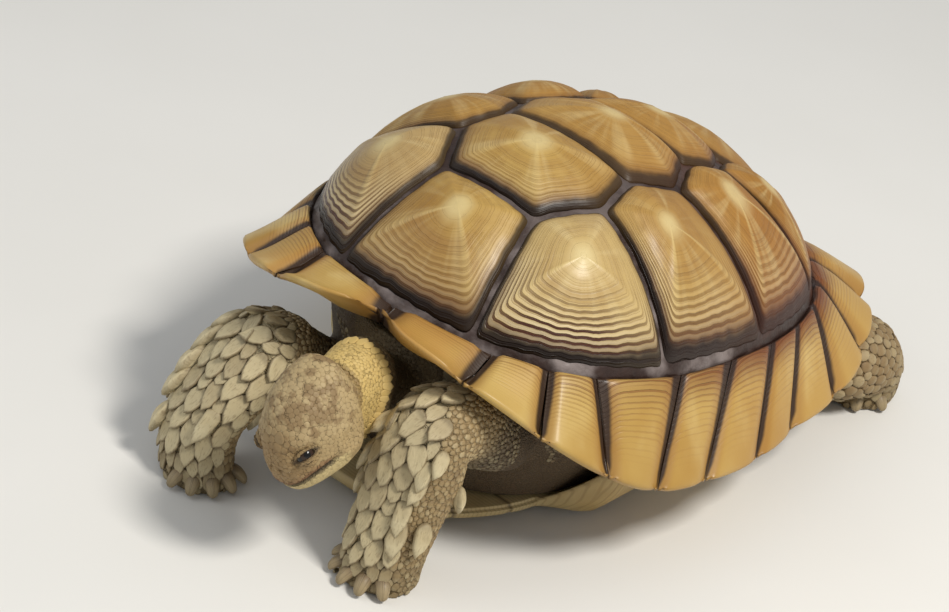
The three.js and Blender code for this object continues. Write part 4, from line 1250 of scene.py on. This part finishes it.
room[kind == SPUR] = np.maximum(room[kind == SPUR], SPUR_LEAST * root_sizes[kind == SPUR, None])
at_sole = (roots[:, 2] < 12 * MM) & (root_sizes > 3.4 * MM)
room[at_sole] *= SOLE_SHARE

# %% Growing the scales
UNWRAP_ANGLE, UNWRAP_MARGIN, PATCH_SIZE, GROUND_GAP = math.radians(66), 0.003, 0.0015, 0.0004
root_marks = markings(roots)
# Spurs take little of the back's colour and of the painted shade near the ground.
for title in ("back", "hand"):
    root_marks[title] = np.where(kind == SPUR, 0.15 * root_marks[title], root_marks[title])
tone = np.random.default_rng(5).random(len(roots))


def unwrap_places():
    """Where each scale's root lies on an unwrap of the skin."""
    bpy.context.view_layer.objects.active = skin
    skin.select_set(True)
    bpy.ops.object.mode_set(mode="EDIT")
    bpy.ops.mesh.select_all(action="SELECT")
    bpy.ops.uv.smart_project(angle_limit=UNWRAP_ANGLE, island_margin=UNWRAP_MARGIN)
    bpy.ops.object.mode_set(mode="OBJECT")
    layer = skin.data.uv_layers.active.data
    uv = np.empty(len(layer) * 2, np.float32)
    layer.foreach_get("uv", uv)
    uv = uv.reshape(-1, 2)
    polygons = (skin.data.polygons[skin_tree.find_nearest(Vector(place))[2]] for place in roots)
    return np.array([uv[list(polygon.loop_indices)].mean(0) for polygon in polygons])


root_uv = unwrap_places()


def scale_faces(count, levels, spokes, each):
    """The corners of all scales' faces: four-sided ones between rings, and three-sided caps."""
    here = np.arange(spokes)
    after = (here + 1) % spokes
    sides = np.concatenate([np.stack([here, after, after + spokes, here + spokes], 1) + level * spokes
                            for level in range(levels - 1)])
    caps = np.stack([here, after, np.zeros(spokes, int)], 1) + (levels - 1) * spokes
    caps[:, 2] = each - 1
    firsts = (np.arange(count) * each)[:, None, None]
    return (sides[None] + firsts).reshape(-1, 4), (caps[None] + firsts).reshape(-1, 3)


def grow(name, chosen, rings, height, overlap, point, peak, finish, spokes=SPOKES):
    """Scales of one kind as one mesh. rings are (part of the reach, height behind, height ahead)."""
    chosen = np.flatnonzero(chosen)
    n, size = len(chosen), root_sizes[chosen]
    keep = np.arange(0, SPOKES, SPOKES // spokes)
    reach, angle = room[chosen][:, keep], spoke[keep]
    ahead = np.maximum(np.cos(angle), 0)
    rise = ((1 + np.cos(angle)) / 2)[None, :]
    tall = (height * size * (0.8 + 0.4 * tone[chosen]))[:, None]
    tip = 1 + overlap * ahead ** 1.5 + point * bell(np.minimum(angle, 2 * math.pi - angle), 0.42)
    levels = []
    for part, behind, before in rings:
        out = reach * part * (1 + (tip - 1)[None, :] * max(part - 0.15, 0) / 0.85)
        levels.append(np.stack([out * np.cos(angle) * stretch[chosen][:, None], out * np.sin(angle),
                                tall * (behind + (before - behind) * rise)], -1))
    top = np.stack([np.zeros(n), np.zeros(n), tall[:, 0] * peak], -1)[:, None]
    local = np.concatenate([np.stack(levels, 1).reshape(n, -1, 3), top], 1)
    centre, to_tip, aside, out = (v[chosen][:, None] for v in (roots, flow, across, root_normals))
    world_points = centre + local[..., :1] * to_tip + local[..., 1:2] * aside + local[..., 2:] * out
    world_points[..., 2] = np.maximum(world_points[..., 2], GROUND_GAP)
    each = local.shape[1]
    quads, tris = scale_faces(n, len(rings), len(angle), each)
    loops = np.concatenate([quads.ravel(), tris.ravel()])
    starts = np.concatenate([np.arange(len(quads)) * 4, quads.size + np.arange(len(tris)) * 3])
    mesh = bpy.data.meshes.new(name)
    mesh.vertices.add(n * each)
    fill(mesh.vertices, "co", world_points)
    mesh.loops.add(len(loops))
    fill(mesh.loops, "vertex_index", loops, np.int32)
    mesh.polygons.add(len(starts))
    fill(mesh.polygons, "loop_start", starts, np.int32)
    fill(mesh.polygons, "use_smooth", np.ones(len(starts)), bool)
    mesh.update(calc_edges=True)
    widest = np.maximum(np.abs(local[..., :2]).max((1, 2), keepdims=True), 1e-6)
    uv = (root_uv[chosen][:, None] + local[..., :2] / widest * PATCH_SIZE).reshape(-1, 2)[loops]
    fill(mesh.uv_layers.new(name="OFBake").data, "uv", uv)
    give_numbers(mesh, {title: np.repeat(values[chosen], each)
                        for title, values in {**root_marks, "tone": tone}.items()})
    within = np.stack([local[..., 0] / size[:, None], local[..., 1] / size[:, None],
                       np.broadcast_to(tone[chosen][:, None] * 40, (n, each))], -1)
    rim = np.append(np.repeat([part for part, _, _ in rings], len(angle)), 0.0)
    give_numbers(mesh, {"rim": np.tile(rim, n), "within": within})
    mesh.materials.append(finish.material)
    obj = put(name, mesh)
    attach(obj, "root")
    print(name, n, "scales,", 2 * len(quads) + len(tris), "triangles")


def scale_finish(name, edge_and_root_shade, pale_tip, streaks, grain, variety=1.0):
    f = Finish(name, FLESH_GROUND)
    own_tone, rim, within = f.attribute("tone"), f.attribute("rim"), f.attribute("within", vector=True)
    toward = f.split("X", within)
    worn = f.noise(170.0, 4)
    lines = f.noise(3.4, 3, vector=within, stretch=(0.45, 1.7, 1))
    paint_flesh(f)
    f.paint("#cfc097", f.step(own_tone, 0.5, 1.0) * 0.28 * variety)
    f.paint("#8a7653", f.step(1 - own_tone, 0.6, 1.0) * 0.4 * variety)
    f.paint("#d9cba4", f.step(toward, 0.0, 1.5) * pale_tip * (0.4 + 0.8 * worn))
    f.paint("#6b5436", f.step(lines + 0.3 * (worn - 0.5), 0.52, 0.72) * streaks)
    # A darker band at each scale's outer rim, partly its own brown edge and partly painted shade in the
    # gaps; then painted shade at the root, which lies under the scale before it.
    f.paint("#564126", f.step(rim + 0.14 * (worn - 0.5), 0.86, 1.0) * edge_and_root_shade)
    f.paint("#4d3c25", f.step(0 - toward, 0.35, 1.0) * edge_and_root_shade * 0.7)
    f.close(0.52 + 0.25 * f.noise(90.0, 3), lines * streaks * 1.6 + 0.6 * f.noise(230.0, 3), grain)
    return f


spur_finish = scale_finish("spur_scales", 0.35, 0.75, 0.4, 0.7)
shield_finish = scale_finish("shield_scales", 0.65, 0.25, 0.4, 0.8)
small_finish = scale_finish("small_scales", 0.45, 0.3, 0.3, 0.5)
head_finish = scale_finish("head_scales", 0.05, 0.0, 0.0, 0.3, 0.25)
neck_finish = scale_finish("neck_scales", 0.06, 0.1, 0.0, 0.25, 0.4)
sown, on_head = kind == 0, root_near > 0.5
on_neck = (root_limb == LIMB["neck"]) & ~on_head & sown
shields = (root_sizes > SHIELD_SIZE) & ~on_head & (root_limb < 2) & sown & ~at_sole
middling = (root_sizes > MIDDLING_SIZE) & ~shields & ~on_head & sown
grains = ~shields & ~middling & ~on_head & ~on_neck & sown
SPUR_RINGS = ((0.6, -0.3, -0.2), (0.97, -0.05, 0.50), (1.0, 0.06, 0.74), (0.93, 0.24, 0.92),
              (0.8, 0.38, 1.0), (0.6, 0.48, 0.98), (0.34, 0.58, 0.88))
SHIELD_RINGS = ((0.60, -0.3, -0.25), (0.97, -0.05, 0.42), (1.0, 0.08, 0.70), (0.94, 0.24, 0.90),
                (0.82, 0.32, 0.93), (0.60, 0.38, 0.84), (0.34, 0.44, 0.72))
PLATE_RINGS = ((0.8, -0.3, -0.25), (1.0, 0.05, 0.34), (0.90, 0.42, 0.80), (0.52, 0.75, 1.0))
GRAIN_RINGS = ((0.9, -0.4, -0.3), (0.92, 0.3, 0.5), (0.55, 0.85, 0.95))
FLAT_RINGS = ((1.0, -0.9, -0.9), (0.99, 0.0, 0.05), (0.87, 0.85, 0.9), (0.5, 1.0, 1.0))
grow("spur_scales", kind == SPUR, SPUR_RINGS, 1.4, 0.3, 0.9, 0.62, spur_finish)
grow("shield_scales", shields, SHIELD_RINGS, 0.66, 0.28, 0.36, 0.54, shield_finish)
grow("limb_scales", middling, PLATE_RINGS, 0.44, 0.16, 0.08, 1.0, small_finish)
grow("grain_scales", grains, GRAIN_RINGS, 0.40, 0.1, 0.0, 1.0, small_finish, 6)
grow("collar_scales", kind == COLLAR, SPUR_RINGS, 0.45, 0.7, 0.5, 0.7, neck_finish)
grow("neck_scales", on_neck, FLAT_RINGS, 0.08, 0.0, 0.0, 1.0, neck_finish, 6)
grow("head_scales", on_head, FLAT_RINGS, 0.09, 0.0, 0.0, 1.0, head_finish)

# %% [markdown]
# ## Claws
# Five blunt horn claws stand round each forefoot and four round each hind foot. A claw is a
# tapered horn, flat below and worn at its tip, with lines along it and a darker root.
# %% Claws
claw_horn = f = Finish("claw_horn", "#6b583d", Coat_Weight=0.15, Coat_Roughness=0.3)
lines = f.line_noise(f.attribute("edge"), 9.0, 2.0)
f.paint("#a08d69", f.step(f.attribute("growth"), 0.15, 0.8))
f.paint("#3f3122", f.step(lines, 0.5, 0.7) * 0.5)
f.close(0.42 + 0.25 * f.noise(120.0, 3), lines + 0.5 * f.noise(200.0, 3), 0.5)
# How far along a claw, and its thickness there.
CLAW_PROFILE = ((0.0, 0.2), (0.02, 0.8), (0.12, 1.0), (0.3, 1.0), (0.5, 0.94), (0.7, 0.82), (0.85, 0.68),
                (0.94, 0.50), (0.99, 0.24), (1.0, 0.01))
CLAW_WIDTH, CLAW_ARCH, CLAW_ABOVE, CLAW_BELOW, CLAW_GAP = 7.0, 2.6, 0.86, 0.5, 0.15
CLAW_ROOT_IN, CLAW_ROOT_HIGH, CLAW_TIP_IN, CLAW_TIP_HIGH = 9, 14.5, 2, 4.0
TURNS = np.linspace(0, 2 * math.pi, 17)


def claw(name, root, tip):
    root, tip = np.array(root, float), np.array(tip, float)
    along = (tip - root) / np.linalg.norm(tip - root)
    side = np.cross(along, (0, 0, 1))
    side /= np.linalg.norm(side)
    up = np.cross(side, along)
    tall = np.where(np.sin(TURNS) > 0, CLAW_ABOVE, CLAW_BELOW) * np.sin(TURNS)
    rows = []
    for t, thick in CLAW_PROFILE:
        middle, r = root + (tip - root) * t + up * CLAW_ARCH * math.sin(math.pi * t), CLAW_WIDTH * thick
        rows.append(middle + side * (r * np.cos(TURNS))[:, None] + up * (r * tall)[:, None])
    rows = np.array(rows) + SHIFT_MM
    rows[..., 2] = np.maximum(rows[..., 2], CLAW_GAP)
    obj = closed_grid(name, rows * MM, claw_horn, growth=np.array(CLAW_PROFILE)[:, :1],
                      edge=np.abs(TURNS - math.pi)[None, :])


for limb_name, ((fx, fy), heading, count, reach, length, spread) in FEET.items():
    for i in range(count):
        dx, dy = way_of(heading + spread * (i / (count - 1) - 0.5))
        inner, outer = reach - CLAW_ROOT_IN, reach + length - CLAW_TIP_IN
        claw(f"{limb_name}_claw_{i + 1}", (fx + dx * inner, fy + dy * inner, CLAW_ROOT_HIGH),
             (fx + dx * outer, fy + dy * outer, CLAW_TIP_HIGH))

# %% [markdown]
# ## Plastron
# The floor of the shell is a slab with broad side bridges up to the rim. Its horn is pale, and
# one seam runs along it and five across, each a shallow groove with a darker bed.
# %% Plastron
plastron_horn = f = Finish("plastron_horn", "#cdb988")
age = f.attribute("growth") * 13.0 + f.noise(16.0, 2) * 2.0
line = f.step((age * (2 * math.pi)).sine(), 0.35, 1.0)
f.paint("#a98f5c", f.step(f.noise(8.0, 4), 0.4, 0.7))
f.paint("#8a6f43", line * 0.35)
f.paint("#4b3622", f.step(f.attribute("edge"), 0.35, 0.9) * 0.8)
f.close(0.48 + 0.2 * f.noise(40.0, 3), f.noise(150.0, 3) - 0.5 * line, 0.5)
PLASTRON_LEVEL, PLASTRON_SLOPE, PLASTRON_THICK = -80, 0.125, 9
PLASTRON_FRONT, PLASTRON_BACK, BRIDGE, PLASTRON_STEP = -236, 214, 104, 3.0
PLASTRON_SEAMS = (-196, -150, -58, 62, 138)
SEAM_WIDTH, MIDDLE_SEAM_WIDTH, FREE_PART, BELOW_POINTS, RING_REACH = 2.4, 2.2, 0.7, 21, 45


def seam_across(y):
    """How near a place along the plastron is to one of the seams that cross it."""
    return max(math.exp(-((y - s) / SEAM_WIDTH) ** 2) for s in PLASTRON_SEAMS)


def plastron_row(y):
    bridge = smooth(BRIDGE - abs(y + 12), -8, 26)
    front, back = np.clip((y - PLASTRON_FRONT) / 130, 0, 1), np.clip((PLASTRON_BACK - y) / 120, 0, 1)
    lobe = 46 + 62 * math.sin(front * math.pi / 2) if y < 0 else 40 + 68 * math.sin(back * math.pi / 2)
    half = lobe + (142 - lobe) * bridge
    floor_z = PLASTRON_LEVEL + PLASTRON_SLOPE * y
    top = min(rim_point(np.array(90.0), np.array(0.5))[2] + 3, 0) - floor_z
    out = 2 + (dome_width(y) * 0.848 - half - 2) * bridge
    t, wall = PLASTRON_THICK, 3 + 8 * bridge
    rise = t * FREE_PART + (top - t * FREE_PART) * bridge
    places = np.array([(0, 0), (half * 0.5, 0), (half, 0), (half + out * 0.62, rise * 0.34),
                       (half + out, rise), (half + out - wall, max(rise, t * FREE_PART)),
                       (half + out * 0.62 - wall, max(rise * 0.34 + t * 0.6, t)),
                       (half - wall, t), (half * 0.5, t), (0, t)], float)
    fine = []
    for a, b, count in zip(places[:-1], places[1:], (8, 8, 5, 8, 2, 5, 3, 3, 3)):
        fine += [a + (b - a) * k / count for k in range(count)]
    fine = np.array(fine + [places[-1]])
    for _ in range(2):
        fine[1:-1] = fine[1:-1] * 0.5 + (fine[2:] + fine[:-2]) * 0.25
    fine[:BELOW_POINTS, 1] += bell(fine[:BELOW_POINTS, 0], MIDDLE_SEAM_WIDTH) + seam_across(y)
    loop = np.concatenate([fine, (fine * (-1, 1))[::-1][1:]])
    return np.stack([loop[:, 0], np.full(len(loop), y), floor_z + loop[:, 1]], 1)


def ends_repeated(rows):
    return np.concatenate([rows[:1], rows, rows[-1:]])


plastron_ys = np.arange(PLASTRON_FRONT, PLASTRON_BACK + 0.1, PLASTRON_STEP)
plastron_rows = np.array([plastron_row(y) for y in plastron_ys])
seam_near = np.maximum(np.array([seam_across(y) for y in plastron_ys])[:, None],
                       bell(plastron_rows[..., 0], MIDDLE_SEAM_WIDTH))
gaps = np.array([min(abs(y - s) for s in PLASTRON_SEAMS) for y in plastron_ys])[:, None] / RING_REACH
plastron_rows = ends_repeated(plastron_rows)
for end in (0, -1):
    plastron_rows[end] = plastron_rows[end].mean(0)
plastron = closed_grid("plastron_horn", posed(plastron_rows, SHELL), plastron_horn,
                       edge=ends_repeated(seam_near), growth=1 - np.clip(ends_repeated(gaps), 0, 1))
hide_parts("plastron")
